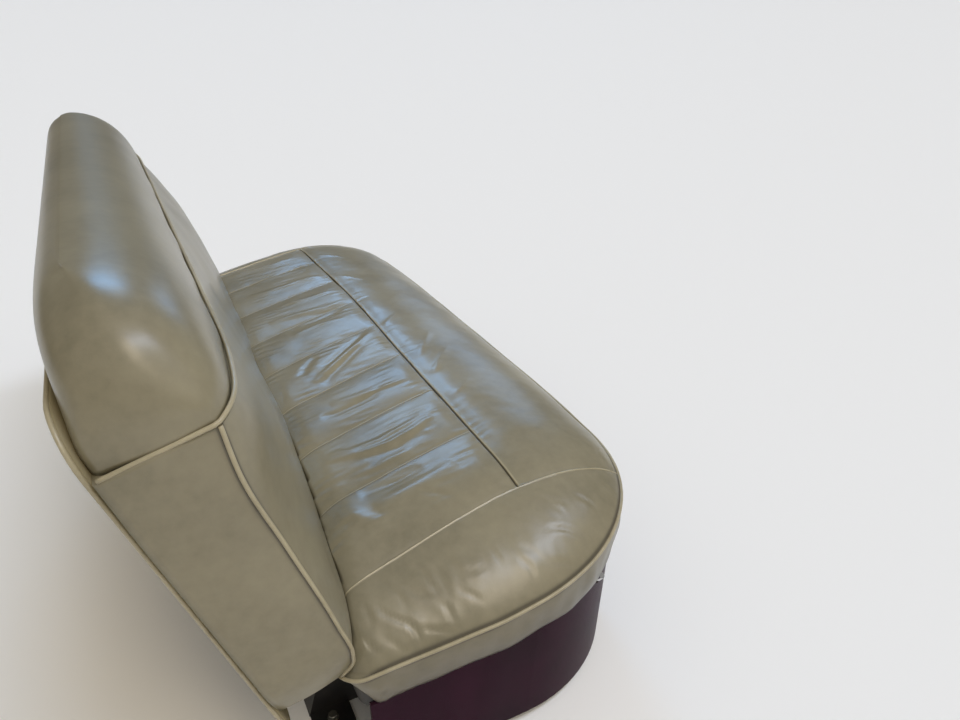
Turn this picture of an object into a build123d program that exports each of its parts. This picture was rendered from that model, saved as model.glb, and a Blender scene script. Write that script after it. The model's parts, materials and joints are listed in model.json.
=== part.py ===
"""Front bench seat of a full-size 1950s saloon car.

A crowned cushion and a raked backrest with a separate top roll are carried by a frame of pressed
channel, with sinuous springs across it. A curved plinth closes the frame at the front and sides.
The seat slides fore and aft on two inclined T-section tracks, which stand on pressed risers bolted
to the floor, and a pawl on a cross rod drops into a notched rack beside each track.

Units are millimetres. +Z is up, -Y is the front of the car, and +X is its left side. The origin is
on the floor, at the centre of the four floor bolts.
"""

from build123d import *

import os
from math import atan2, cos, degrees, radians, sin

# Where the backrest meets the cushion, and how each of them leans
CREASE_Y = 155.0
CREASE_Z = 296.0
CUSHION_TILT = 10.0
BACK_RAKE = 18.0

# Cushion, measured from the crease and parallel with its own top
SEAT_HALF_WIDTH = 748.0
REAR_HALF_WIDTH = 722.0
CUSHION_FRONT = -472.0
CUSHION_REAR = 62.0
TAPER_START = -150.0
TAPER_RADIUS = 300.0
FRONT_CORNER_RADIUS = 265.0
REAR_CORNER_RADIUS = 38.0
CUSHION_BASE = -141.0
BASE_INSET = 14.0
PIPING_LEVEL = -70.0
CROWN_HEIGHT = 82.0
CROWN_REACH = 215.0
CROWN_ANGLES = (22.0, 45.0, 66.0, 90.0)
CREASE_GAP = 1.2

# Backrest, measured from the crease and along its own rake
BACK_DEPTH = 148.0
PANEL_HALF_WIDTH = 706.0
PANEL_BOTTOM = -96.0
PANEL_TOP = 412.0
PANEL_THICKNESS = 7.0
PANEL_GAP = 0.4
BACK_BOTTOM = -57.0
BRACKET_HALF_WIDTH = 24.0
BRACKET_STRAP = 4.0
BRACKET_WALL = 3.0

# Frame of pressed channel, below the cushion and parallel with it
SHEET = 2.5
RAIL_TOP = CUSHION_BASE - 0.5
RAIL_HEIGHT = 38.0
RAIL_WIDTH = 26.0
RAIL_INSET = 40.0
RAIL_BOTTOM = RAIL_TOP - RAIL_HEIGHT
REAR_RAIL_FRONT = 22.0
REAR_RAIL_REAR = REAR_RAIL_FRONT + RAIL_WIDTH
CORNER_X = SEAT_HALF_WIDTH - FRONT_CORNER_RADIUS
CORNER_Y = CUSHION_FRONT + FRONT_CORNER_RADIUS

# Sinuous springs
SPRING_WIRE_RADIUS = 2.0
SPRING_PITCH = 38.0
SPRING_HALF_WIDTH = 27.0
SPRING_STUB = 20.0
SPRING_TURN_STEPS = 3
SPRING_WIRE_SIDES = 4
SPRING_X = (75.0, 190.0, 305.0, 420.0)

# Tracks, measured from the middle of the slider's top face and along their own slope
TRACK_X = 540.0
TRACK_SLOPE = 5.0
TRACK_TOP_Z = 120.0
TRACK_MIDDLE = -23.0
TRAVEL = 56.0
SLIDER_LENGTH = 300.0
SLIDER_HALF_WIDTH = 22.0
SLIDER_HEIGHT = 14.0
SLIDER_WALL = 3.0
LIP = 6.0
RUNNING_GAP = 0.6
TRACK_LENGTH = SLIDER_LENGTH + 2 * TRAVEL
WEB_HALF_WIDTH = 10.0
RISER_TOP = -22.0

# Risers and their feet on the floor
RISER_FRONT = -221.0
RISER_REAR = 226.0
RISER_HALF_WIDTH = 29.0
RISER_WALL = 3.0
ARCH_HALF_LENGTH = 122.0
ARCH_HEIGHT = 40.0
ARCH_RADIUS = 22.0
BOLT_X = 590.0
BOLT_Y = 195.0
BOLT_HOLE_RADIUS = 4.5
FOOT_HALF_LENGTH = 30.0
FOOT_REACH = 24.0
FOOT_THICKNESS = 5.0

# Lock: rack, cross rod, pawls and lever
RACK_NOTCHES = 9
RACK_PITCH = 2 * TRAVEL / (RACK_NOTCHES - 1)
RACK_NOTCH = 7.0
RACK_DEPTH = 8.0
RACK_TOP = -2.0
RACK_THICKNESS = 4.0
ROD_Y = -300.0
ROD_Z = -204.0
ROD_RADIUS = 5.0
LEVER_RADIUS = 4.0
LEVER_SIDES = 8
LEVER_BEND = 14.0
LEVER_ANGLE = 32.0
LEVER_KNEE = (205.0, -192.0)
LEVER_FOOT = (232.0, -168.0)
KNOB_RADIUS = 6.5
KNOB_LENGTH = 20.0
SLOT_RADIUS = KNOB_RADIUS + 2.0
SLOT_REACH = 45.0
KNOB_SIDES = 12
PAWL_REACH = 30.0
PAWL_LIFT = 1.5
PAWL_BOSS_RADIUS = 10.0
PAWL_BOSS_SIDES = 6

# Plinth
PLINTH_TOP_LEVEL = CUSHION_BASE - 7.0
PLINTH_INSET = 22.0
PLINTH_WALL = 5.0
PLINTH_BOTTOM = 16.0
PLINTH_FOOT_FRONT = CREASE_Y - 464.0
PLINTH_FOOT_HALF_WIDTH = 720.0
PLINTH_FOOT_TAPER = 16.0
PLINTH_REAR = CREASE_Y + 60.0
PLINTH_OPEN_FROM = CREASE_Y + 12.0
BEAD_RADIUS = 4.0
BEAD_SIDES = 6

cushion_frame = Pos(0, CREASE_Y, CREASE_Z) * Rot(-CUSHION_TILT, 0, 0)
back_frame = Pos(0, CREASE_Y, CREASE_Z) * Rot(-BACK_RAKE, 0, 0)
track_frame = Pos(0, 0, TRACK_TOP_Z) * Rot(-TRACK_SLOPE, 0, 0)


def yz_in(frame, y, z):
    """A point of one of the leaning frames, as a (y, z) pair of the seat."""
    point = (frame * Pos(0, y, z)).position
    return point.Y, point.Z


def yz_of(frame, y, z):
    """A (y, z) pair of the seat, as a pair of one of the leaning frames."""
    point = (frame.inverse() * Pos(0, y, z)).position
    return point.Y, point.Z


def side_extrusion(points, low_x, high_x):
    """A prism along X whose outline is a closed list of (y, z) pairs."""
    face = make_face(Plane.YZ * Polyline(*points, close=True))
    return Pos(low_x, 0, 0) * extrude(face, high_x - low_x, dir=(1, 0, 0))


def plan_face(half, rear_half, front, taper_start, rear, front_radius, rear_radius):
    """An outline seen from above: large front corners, and sides that draw in towards the rear."""
    outline = [(-half, front), (half, front), (half, taper_start), (rear_half, rear)]
    outline += [(-rear_half, rear), (-half, taper_start)]
    face = make_face(Polyline(*outline, close=True))
    # columns: y of the corners, radius
    corners = [(front, front_radius), (taper_start, TAPER_RADIUS), (rear, rear_radius)]
    for y, radius in corners:
        at_corner = [v for v in face.vertices() if abs(v.Y - y) < 0.01 and abs(v.X) > half * 0.9]
        face = fillet(at_corner, radius)
    return face


def seat_plan(inset, rear):
    """The cushion's outline, drawn in by inset."""
    half, rear_half = SEAT_HALF_WIDTH - inset, REAR_HALF_WIDTH - inset
    front = CUSHION_FRONT + inset
    rear_radius = max(REAR_CORNER_RADIUS - inset / 4, 6.0)
    return plan_face(half, rear_half, front, TAPER_START, rear, FRONT_CORNER_RADIUS - inset, rear_radius)


def prism(face, height):
    """A plan face drawn up by a height."""
    return extrude(face, height, dir=(0, 0, 1))


def cushion(pad):
    """Straight boxing up to the piping, and an elliptical crown above it, pressed in by the backrest."""
    sections = [Pos(0, 0, CUSHION_BASE) * seat_plan(BASE_INSET, CUSHION_REAR - BASE_INSET / 2)]
    sections.append(Pos(0, 0, PIPING_LEVEL) * seat_plan(0.0, CUSHION_REAR))
    for angle in CROWN_ANGLES:
        inset = CROWN_REACH * (1 - cos(radians(angle)))
        level = PIPING_LEVEL + CROWN_HEIGHT * sin(radians(angle))
        sections.append(Pos(0, 0, level) * seat_plan(inset, CUSHION_REAR - inset / 2))
    body = cushion_frame * loft(sections, ruled=True)
    pressed = body - Pos(0, -CREASE_GAP, -CREASE_GAP) * pad
    return pressed.solids().sort_by(SortBy.VOLUME)[-1]


def back_section(level, half_width, edge, front, shoulder, end_inset, depth):
    """One slice of the backrest: a full front between two rounded shoulders, and a flat rear."""
    flat = half_width - shoulder
    middle_y = (edge + front) / 2 - 0.2 * (edge - front)
    middle_x = (half_width + flat) / 2
    corners = [(half_width - end_inset, depth), (-half_width + end_inset, depth)]
    outline = [
        ThreePointArc((-half_width, edge), (-middle_x, middle_y), (-flat, front)),
        Line((-flat, front), (flat, front)),
        ThreePointArc((flat, front), (middle_x, middle_y), (half_width, edge)),
        Line((half_width, edge), corners[0]),
        Line(corners[0], corners[1]),
        Line(corners[1], (-half_width, edge)),
    ]
    return Pos(0, 0, level) * make_face(outline)


def backrest_pad():
    """The sprung lower part of the backrest, up to the piping below its top roll."""
    # columns: level, half width, y of the edge piping, y of the front, shoulder, end inset
    levels = [
        (BACK_BOTTOM, 706.0, 66.0, 56.0, 120.0, 4.0),
        (-20.0, 720.0, 40.0, 2.0, 170.0, 6.0),
        (40.0, 722.0, 36.0, -22.0, 190.0, 6.0),
        (180.0, 722.0, 36.0, -32.0, 200.0, 6.0),
        (290.0, 722.0, 38.0, -20.0, 160.0, 6.0),
        (350.0, 718.0, 42.0, -6.0, 115.0, 10.0),
    ]
    return back_frame * loft([back_section(*row, BACK_DEPTH) for row in levels], ruled=True)


def top_roll():
    """The roll along the top of the backrest, rounded over to the rear and at its ends."""
    # columns: level, half width, y of the edge, y of the front, shoulder, end inset, y of the rear
    levels = [
        (350.5, 718.0, 42.0, -6.0, 115.0, 10.0, BACK_DEPTH),
        (385.0, 716.0, 45.0, -7.0, 118.0, 12.0, BACK_DEPTH),
        (420.0, 708.0, 52.0, -2.0, 122.0, 18.0, BACK_DEPTH - 3.0),
        (448.0, 692.0, 63.0, 11.0, 126.0, 26.0, BACK_DEPTH - 9.0),
        (470.0, 667.0, 78.0, 30.0, 128.0, 34.0, BACK_DEPTH - 17.0),
        (486.0, 632.0, 94.0, 55.0, 128.0, 40.0, BACK_DEPTH - 27.0),
        (494.0, 590.0, 106.0, 80.0, 128.0, 44.0, BACK_DEPTH - 35.0),
    ]
    return back_frame * loft([back_section(*row) for row in levels], ruled=True)


def rear_panel():
    """The covered board that closes the rear of the backrest, with rounded corners."""
    half = PANEL_HALF_WIDTH
    outline = [(-half, PANEL_BOTTOM), (half, PANEL_BOTTOM), (half, PANEL_TOP), (-half, PANEL_TOP)]
    board = make_face(Polyline(*outline, close=True))
    board = fillet([v for v in board.vertices() if v.Y > 0], 60.0)
    board = fillet([v for v in board.vertices() if abs(v.Y - PANEL_BOTTOM) < 0.01], 24.0)
    upright = back_frame * Pos(0, BACK_DEPTH + PANEL_GAP, 0) * Rot(90, 0, 0)
    return upright * extrude(board, -PANEL_THICKNESS)


def frame_ring():
    """The whole run of inverted channel round the frame, before it is parted into its rails."""
    block = prism(seat_plan(RAIL_INSET, REAR_RAIL_REAR), RAIL_HEIGHT)
    block -= prism(seat_plan(RAIL_INSET + RAIL_WIDTH, REAR_RAIL_FRONT), RAIL_HEIGHT)
    groove = prism(seat_plan(RAIL_INSET + SHEET, REAR_RAIL_REAR - SHEET), RAIL_HEIGHT - SHEET)
    land = seat_plan(RAIL_INSET + RAIL_WIDTH - SHEET, REAR_RAIL_FRONT + SHEET)
    groove -= prism(land, RAIL_HEIGHT - SHEET)
    return Pos(0, 0, RAIL_BOTTOM) * (block - groove)


def box_between(low, high):
    """A block between two opposite corners."""
    size = [b - a for a, b in zip(low, high)]
    return Pos(*[(a + b) / 2 for a, b in zip(low, high)]) * Box(*size)


def frame_rails():
    """The pressed rails of the frame, by name, each a length of inverted channel."""
    ring = frame_ring()
    reach = SEAT_HALF_WIDTH
    # columns: node, low x, high x, low y, high y
    cuts = [
        ("frame_front_rail", -CORNER_X, CORNER_X, CUSHION_FRONT, CORNER_Y),
        ("frame_right_front_corner", -reach, -CORNER_X, CUSHION_FRONT, CORNER_Y),
        ("frame_left_front_corner", CORNER_X, reach, CUSHION_FRONT, CORNER_Y),
        ("frame_right_side_rail", -reach, 0.0, CORNER_Y, REAR_RAIL_FRONT),
        ("frame_left_side_rail", 0.0, reach, CORNER_Y, REAR_RAIL_FRONT),
        ("frame_rear_rail", -reach, reach, REAR_RAIL_FRONT, REAR_RAIL_REAR),
    ]
    rails = {}
    for name, low_x, high_x, low_y, high_y in cuts:
        block = box_between((low_x, low_y, RAIL_BOTTOM), (high_x, high_y, RAIL_TOP))
        rails[name] = cushion_frame * (ring & block)
    opening = prism(seat_plan(RAIL_INSET + RAIL_WIDTH, REAR_RAIL_FRONT), RAIL_HEIGHT)
    opening = Pos(0, 0, RAIL_BOTTOM) * opening
    half = RAIL_WIDTH / 2
    # columns: node, x
    inner = [
        ("frame_right_track_rail", -TRACK_X),
        ("frame_centre_rail", 0.0),
        ("frame_left_track_rail", TRACK_X),
    ]
    for name, x in inner:
        bar = box_between((x - half, CUSHION_FRONT, RAIL_BOTTOM), (x + half, REAR_RAIL_REAR, RAIL_TOP))
        web = half - SHEET
        groove = box_between(
            (x - web, CUSHION_FRONT, RAIL_BOTTOM), (x + web, REAR_RAIL_REAR, RAIL_TOP - SHEET)
        )
        rails[name] = cushion_frame * ((bar - groove) & opening)
    return rails


def sinuous_spring(length):
    """One zigzag spring along Y: bars joined by half turns, with a stub at each end, in square wire."""
    bars = int((length - 2 * SPRING_STUB) // SPRING_PITCH) + 1
    pitch = (length - 2 * SPRING_STUB) / (bars - 1)
    turn = pitch / 2
    points = [(0.0, 0.0), (0.0, SPRING_STUB)]
    side = 1
    for bar in range(bars - 1):
        centre_x = side * (SPRING_HALF_WIDTH - turn)
        centre_y = SPRING_STUB + bar * pitch + turn
        for step in range(SPRING_TURN_STEPS + 1):
            angle = radians(180.0 * step / SPRING_TURN_STEPS - 90.0)
            points.append((centre_x + side * turn * cos(angle), centre_y + turn * sin(angle)))
        side = -side
    points += [(0.0, length - SPRING_STUB), (0.0, length)]
    path = Polyline(*points)
    section = Plane(path @ 0, z_dir=path % 0) * RegularPolygon(SPRING_WIRE_RADIUS, SPRING_WIRE_SIDES)
    return sweep(section, path=path, transition=Transition.RIGHT)


def cushion_springs():
    """The row of springs between the front and rear rails, just below the cushion."""
    start = CUSHION_FRONT + RAIL_INSET + RAIL_WIDTH
    spring = sinuous_spring(REAR_RAIL_FRONT - start)
    level = RAIL_TOP - SPRING_WIRE_RADIUS - 0.5
    places = [side * x for x in SPRING_X for side in (-1, 1)]
    return cushion_frame * Compound([Pos(x, start, level) * spring for x in sorted(places)])


def back_bracket(x):
    """A pressed bracket from the rear rail, behind the cushion, to the underside of the backrest."""
    foot = REAR_RAIL_REAR
    under = BACK_BOTTOM - PANEL_GAP
    outline = [
        yz_in(cushion_frame, foot, RAIL_BOTTOM),
        yz_in(cushion_frame, foot + BRACKET_STRAP, RAIL_BOTTOM),
        yz_in(cushion_frame, foot + 3 * BRACKET_STRAP, RAIL_BOTTOM + 20.0),
        yz_in(back_frame, BACK_DEPTH - 16.0, under - BRACKET_STRAP),
        yz_in(back_frame, BACK_DEPTH - 16.0, under),
        yz_in(back_frame, 80.0, under),
        yz_in(cushion_frame, CUSHION_REAR + 3.0, PIPING_LEVEL - 6.0),
        yz_in(cushion_frame, CUSHION_REAR - 3.0, CUSHION_BASE - 1.0),
        yz_in(cushion_frame, foot, CUSHION_BASE - 5.0),
    ]
    bracket = side_extrusion(outline, x - BRACKET_HALF_WIDTH, x + BRACKET_HALF_WIDTH)
    hollow = [
        yz_in(cushion_frame, foot + BRACKET_STRAP, RAIL_BOTTOM - 10.0),
        yz_in(back_frame, BACK_DEPTH, BACK_BOTTOM - 30.0),
        yz_in(back_frame, BACK_DEPTH, under - BRACKET_STRAP),
        yz_in(back_frame, 92.0, under - BRACKET_STRAP),
        yz_in(cushion_frame, CUSHION_REAR + 9.0, CUSHION_BASE + 6.0),
        yz_in(cushion_frame, foot + BRACKET_STRAP, RAIL_TOP - 6.0),
    ]
    inner_half = BRACKET_HALF_WIDTH - BRACKET_WALL
    return bracket - side_extrusion(hollow, x - inner_half, x + inner_half)


def plinth_rim(inset):
    """The plinth's upper outline, parallel with the cushion."""
    return seat_plan(PLINTH_INSET + inset, CUSHION_REAR + PLINTH_INSET)


def plinth_block(inset, low, high):
    """The space inside the plinth's outline, drawn in by inset, from the floor to the cushion."""
    half = PLINTH_FOOT_HALF_WIDTH - inset
    rear_half = half - PLINTH_FOOT_TAPER
    radius = FRONT_CORNER_RADIUS - PLINTH_INSET - inset
    taper_start = CREASE_Y + TAPER_START
    foot = plan_face(half, rear_half, PLINTH_FOOT_FRONT + inset, taper_start, PLINTH_REAR, radius, 20.0)
    return loft([Pos(0, 0, low) * foot, cushion_frame * Pos(0, 0, high) * plinth_rim(inset)], ruled=True)


def plinth(slot):
    """The curved front and side panel below the cushion, with a rolled upper edge and a notch for the knob."""
    outer = plinth_block(0.0, PLINTH_BOTTOM, PLINTH_TOP_LEVEL)
    inner = plinth_block(PLINTH_WALL, PLINTH_BOTTOM - 1.0, PLINTH_TOP_LEVEL + 1.0)
    reach = SEAT_HALF_WIDTH
    rear_cut = box_between((-reach, PLINTH_OPEN_FROM, 0.0), (reach, PLINTH_OPEN_FROM + 200.0, CREASE_Z))
    shell = outer - inner - rear_cut
    rim = cushion_frame * Pos(0, 0, PLINTH_TOP_LEVEL) * plinth_rim(PLINTH_WALL / 2)
    around = [e for e in rim.edges() if e.center().Y < PLINTH_OPEN_FROM]
    path = Wire(around)
    bead = sweep(Plane(path @ 0, z_dir=path % 0) * RegularPolygon(BEAD_RADIUS, BEAD_SIDES), path=path)
    bead -= rear_cut
    return (shell + bead) - slot


def slider(x):
    """The moving half of a track: a channel whose lips reach under the fixed half's head."""
    length = SLIDER_LENGTH
    middle = Pos(x, TRACK_MIDDLE, 0)
    half = SLIDER_HALF_WIDTH
    outer = box_between((-half, -length / 2, -SLIDER_HEIGHT), (half, length / 2, 0.0))
    inside = half - SLIDER_WALL
    room = box_between(
        (-inside, -length / 2, -SLIDER_HEIGHT + SLIDER_WALL), (inside, length / 2, -SLIDER_WALL)
    )
    slot_half = inside - LIP
    slot = box_between((-slot_half, -length / 2, -SLIDER_HEIGHT), (slot_half, length / 2, -SLIDER_WALL))
    return track_frame * middle * (outer - room - slot)


def lower_track(x):
    """The fixed half of a track: a T section with its head inside the slider."""
    length = TRACK_LENGTH
    head_half = SLIDER_HALF_WIDTH - SLIDER_WALL - RUNNING_GAP
    low = -SLIDER_HEIGHT + SLIDER_WALL + RUNNING_GAP
    head = box_between((-head_half, -length / 2, low), (head_half, length / 2, -SLIDER_WALL - RUNNING_GAP))
    web = box_between((-WEB_HALF_WIDTH, -length / 2, RISER_TOP), (WEB_HALF_WIDTH, length / 2, low))
    return track_frame * Pos(x, TRACK_MIDDLE, 0) * (head + web)


def riser(x):
    """A pressed pedestal under a track, open below and arched at its sides, with two bolted feet."""
    side = 1 if x > 0 else -1
    top_front = yz_in(track_frame, RISER_FRONT + 24.0, RISER_TOP)
    top_rear = yz_in(track_frame, RISER_REAR - 20.0, RISER_TOP)
    outline = [(RISER_FRONT, 0.0), (RISER_REAR, 0.0), top_rear, top_front]
    body = side_extrusion(outline, x - RISER_HALF_WIDTH, x + RISER_HALF_WIDTH)
    wall = RISER_WALL
    inside = [
        (RISER_FRONT + wall, 0.0),
        (RISER_REAR - wall, 0.0),
        (top_rear[0] - wall, top_rear[1] - wall),
        (top_front[0] + wall, top_front[1] - wall),
    ]
    body -= side_extrusion(inside, x - RISER_HALF_WIDTH + wall, x + RISER_HALF_WIDTH - wall)
    arch = Plane.YZ * RectangleRounded(2 * ARCH_HALF_LENGTH, 2 * ARCH_HEIGHT, ARCH_RADIUS)
    body -= Pos(x - 2 * RISER_HALF_WIDTH, 0, 0) * extrude(arch, 4 * RISER_HALF_WIDTH, dir=(1, 0, 0))
    edge = x + side * RISER_HALF_WIDTH
    for bolt_y in (-BOLT_Y, BOLT_Y):
        reach = side * BOLT_X + side * FOOT_REACH
        low_x, high_x = sorted((edge, reach))
        foot = box_between(
            (low_x, bolt_y - FOOT_HALF_LENGTH, 0.0), (high_x, bolt_y + FOOT_HALF_LENGTH, FOOT_THICKNESS)
        )
        foot -= Pos(side * BOLT_X, bolt_y, 0) * Cylinder(BOLT_HOLE_RADIUS, 4 * FOOT_THICKNESS)
        body += foot
    return body


def seat_bracket(x, low_y, high_y):
    """A short box bracket that fills the wedge between a slider and its frame rail."""
    half = RAIL_WIDTH / 2

    def outline(y0, y1, gap):
        """Four corners between the slider's top and the rail's underside."""
        corners = []
        for y in (y0, y1):
            corners.append((y, yz_line(track_frame, 0.0, y) + gap))
        for y in (y1, y0):
            corners.append((y, yz_line(cushion_frame, RAIL_BOTTOM, y) - gap))
        return corners

    wall = 3.0
    block = side_extrusion(outline(low_y, high_y, 0.02), x - half, x + half)
    return block - side_extrusion(outline(low_y - 1, high_y + 1, wall), x - half + wall, x + half - wall)


def yz_line(frame, level, y):
    """The height at a given y of the plane at one level of a leaning frame."""
    near_y, near_z = yz_in(frame, 0.0, level)
    far_y, far_z = yz_in(frame, 100.0, level)
    return near_z + (far_z - near_z) * (y - near_y) / (far_y - near_y)


def rod_in_track():
    """The cross rod's centre, as a (y, z) pair of the track frame."""
    return yz_of(track_frame, *yz_in(cushion_frame, ROD_Y, ROD_Z))


def rack(x):
    """A notched bar on the inner wall of a riser, one notch for each position of the seat."""
    side = 1 if x > 0 else -1
    rod_y, _ = rod_in_track()
    tooth_y = rod_y + PAWL_REACH
    span = (RACK_NOTCHES - 1) * RACK_PITCH / 2
    start, end = tooth_y - span - RACK_NOTCH, tooth_y + span + RACK_NOTCH
    outline = [(start, -34.0), (start, RACK_TOP)]
    for notch in range(RACK_NOTCHES):
        centre = tooth_y - span + notch * RACK_PITCH
        low, high = centre - RACK_NOTCH / 2, centre + RACK_NOTCH / 2
        outline += [(low, RACK_TOP), (low + 1.0, RACK_TOP - RACK_DEPTH)]
        outline += [(high - 1.0, RACK_TOP - RACK_DEPTH), (high, RACK_TOP)]
    outline += [(end, RACK_TOP), (end, -34.0)]
    inner = x - side * RISER_HALF_WIDTH
    low_x, high_x = sorted((inner, inner - side * RACK_THICKNESS))
    return track_frame * side_extrusion(outline, low_x, high_x)


def pawl(x):
    """A hooked plate on the cross rod, pointing rearward, with its tooth lifted clear of the rack."""
    side = 1 if x > 0 else -1
    rod_y, rod_z = rod_in_track()
    tip = RACK_TOP + PAWL_LIFT
    outline = [
        (rod_y - 2.0, rod_z + 9.0),
        (rod_y + PAWL_REACH + 4.0, rod_z - 1.0),
        (rod_y + PAWL_REACH + 3.0, tip),
        (rod_y + PAWL_REACH - 3.0, tip),
        (rod_y + PAWL_REACH - 4.0, rod_z - 9.0),
        (rod_y - 2.0, rod_z - 9.0),
    ]
    inner = x - side * RISER_HALF_WIDTH
    low_x, high_x = sorted((inner, inner - side * RACK_THICKNESS))
    plate = side_extrusion(outline, low_x, high_x)
    nut = extrude(RegularPolygon(PAWL_BOSS_RADIUS, PAWL_BOSS_SIDES), 1.25 * RACK_THICKNESS, both=True)
    boss = Pos((low_x + high_x) / 2, rod_y, rod_z) * Rot(0, 90, 0) * nut
    hole = Pos((low_x + high_x) / 2, rod_y, rod_z) * Rot(0, 90, 0) * Cylinder(ROD_RADIUS + 0.05, 40.0)
    return track_frame * (plate + boss - hole)


def lock_rod():
    """The straight rod that turns both pawls together."""
    low_x, high_x = -TRACK_X - 20.0, TRACK_X - 20.0
    rod = Rot(0, 90, 0) * Cylinder(ROD_RADIUS, high_x - low_x)
    return cushion_frame * Pos((low_x + high_x) / 2, ROD_Y, ROD_Z) * rod


def at_right_corner(reach, level):
    """A point of the right front corner, along the lever's own direction from the corner's centre."""
    angle = radians(LEVER_ANGLE)
    return (-CORNER_X - reach * cos(angle), CORNER_Y - reach * sin(angle), level)


def lever_path():
    """The lever's centre line, from the end of the cross rod under the frame to the foot of its knob."""
    start = -TRACK_X - 20.0
    knee, foot = at_right_corner(*LEVER_KNEE), at_right_corner(*LEVER_FOOT)
    return FilletPolyline((start, ROD_Y, ROD_Z), (start - 40.0, ROD_Y, ROD_Z), knee, foot, radius=LEVER_BEND)


def lever():
    """An eight-sided bar along the lever's path."""
    path = lever_path()
    section = Plane(path @ 0, z_dir=path % 0) * RegularPolygon(LEVER_RADIUS, LEVER_SIDES)
    return cushion_frame * sweep(section, path=path)


def lever_slot():
    """The room that the lever's last leg and its knob need through the frame and the plinth."""
    path = lever_path()
    room = extrude(RegularPolygon(SLOT_RADIUS, KNOB_SIDES), SLOT_REACH, both=True)
    return cushion_frame * Plane(path @ 1, z_dir=path % 1).location * room


def tapered_bar(low_radius, high_radius, length):
    """A faceted bar along Z that changes evenly from one radius to another."""
    widening = (high_radius - low_radius) * cos(radians(180.0 / KNOB_SIDES))
    return extrude(RegularPolygon(low_radius, KNOB_SIDES), length, taper=-degrees(atan2(widening, length)))


def knob():
    """The faceted knob on the end of the lever, widest at its middle."""
    path = lever_path()
    half = KNOB_LENGTH / 2
    grip = tapered_bar(LEVER_RADIUS, KNOB_RADIUS, half)
    grip += Pos(0, 0, half) * tapered_bar(KNOB_RADIUS, 0.8 * KNOB_RADIUS, half)
    return cushion_frame * Plane(path @ 1, z_dir=path % 1).location * grip


def plinth_clips(panel, rails):
    """Small blocks that tie the plinth to the frame's outer face."""
    level = (RAIL_TOP + RAIL_BOTTOM) / 2
    half = 10.0
    # columns: x, y, half size along x, half size along y
    places = [(-360.0, -439.0, 12.0, 12.0), (0.0, -439.0, 12.0, 12.0), (360.0, -439.0, 12.0, 12.0)]
    places += [(side * 716.0, y, 14.0, 12.0) for side in (-1, 1) for y in (-120.0,)]
    clips = []
    for x, y, half_x, half_y in places:
        block = cushion_frame * box_between(
            (x - half_x, y - half_y, level - half), (x + half_x, y + half_y, level + half)
        )
        block -= panel
        for rail in rails:
            block -= rail
        pieces = block.solids().sort_by(SortBy.VOLUME)
        clips.append(pieces[-1])
    return Compound(clips)


def main():
    """Builds every node and writes one STEP file for each."""
    pad = backrest_pad()
    slot = lever_slot()
    nodes = {
        "cushion": cushion(pad),
        "backrest_pad": pad,
        "backrest_top_roll": top_roll(),
        "backrest_rear_panel": rear_panel(),
        "plinth": plinth(slot),
        "cushion_springs": cushion_springs(),
        "lock_rod": lock_rod(),
        "adjuster_lever": lever(),
        "adjuster_knob": knob(),
    }
    rails = frame_rails()
    rails["frame_right_front_corner"] -= slot
    nodes.update(rails)
    for name, x in (("right", -560.0), ("centre", 0.0), ("left", 560.0)):
        nodes[f"{name}_back_bracket"] = back_bracket(x)
    for name, x in (("right", -TRACK_X), ("left", TRACK_X)):
        nodes[f"{name}_slider"] = slider(x)
        nodes[f"{name}_lower_track"] = lower_track(x)
        nodes[f"{name}_riser"] = riser(x)
        nodes[f"{name}_rack"] = rack(x)
        nodes[f"{name}_pawl"] = pawl(x)
        nodes[f"{name}_front_seat_bracket"] = seat_bracket(x, CREASE_Y - 318.0, CREASE_Y - 274.0)
        nodes[f"{name}_rear_seat_bracket"] = seat_bracket(x, CREASE_Y - 95.0, CREASE_Y - 55.0)
    nodes["plinth_clips"] = plinth_clips(nodes["plinth"], rails.values())
    os.makedirs("parts", exist_ok=True)
    for name, shape in nodes.items():
        export_step(shape, f"parts/{name}.step")


main()
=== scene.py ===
"""Front bench seat of a 1950s car: leather, piping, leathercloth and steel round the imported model."""

import json
from math import cos, pi, radians, sin, sqrt

import bmesh
import bpy
import numpy as np
from mathutils import Matrix, Vector


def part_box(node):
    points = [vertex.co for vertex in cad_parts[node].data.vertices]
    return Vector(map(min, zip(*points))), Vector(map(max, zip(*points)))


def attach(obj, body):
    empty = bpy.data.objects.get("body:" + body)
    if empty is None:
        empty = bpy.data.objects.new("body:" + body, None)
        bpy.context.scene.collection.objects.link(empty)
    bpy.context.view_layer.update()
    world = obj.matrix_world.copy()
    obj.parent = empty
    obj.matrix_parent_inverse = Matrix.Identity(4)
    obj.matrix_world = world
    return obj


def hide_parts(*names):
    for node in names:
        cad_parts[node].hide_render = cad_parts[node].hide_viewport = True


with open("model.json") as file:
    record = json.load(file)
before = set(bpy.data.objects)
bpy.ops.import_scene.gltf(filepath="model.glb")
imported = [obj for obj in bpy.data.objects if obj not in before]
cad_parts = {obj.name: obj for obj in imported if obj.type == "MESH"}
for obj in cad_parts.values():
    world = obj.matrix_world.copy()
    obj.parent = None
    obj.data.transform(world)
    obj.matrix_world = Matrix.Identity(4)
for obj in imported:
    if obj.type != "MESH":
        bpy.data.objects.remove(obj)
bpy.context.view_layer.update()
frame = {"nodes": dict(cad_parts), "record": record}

MM = 0.001
SEAT = "seat"
TRACKS = "floor_tracks"

# Where the backrest meets the cushion, how far each of them leans in degrees, and each one's own frame
MEETING_LINE = Vector((0.0, 155 * MM, 296 * MM))
CUSHION_TILT = 10.0
BACK_RAKE = 18.0
CUSHION = Matrix.Translation(MEETING_LINE) @ Matrix.Rotation(radians(-CUSHION_TILT), 4, "X")
BACK = Matrix.Translation(MEETING_LINE) @ Matrix.Rotation(radians(-BACK_RAKE), 4, "X")

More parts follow.
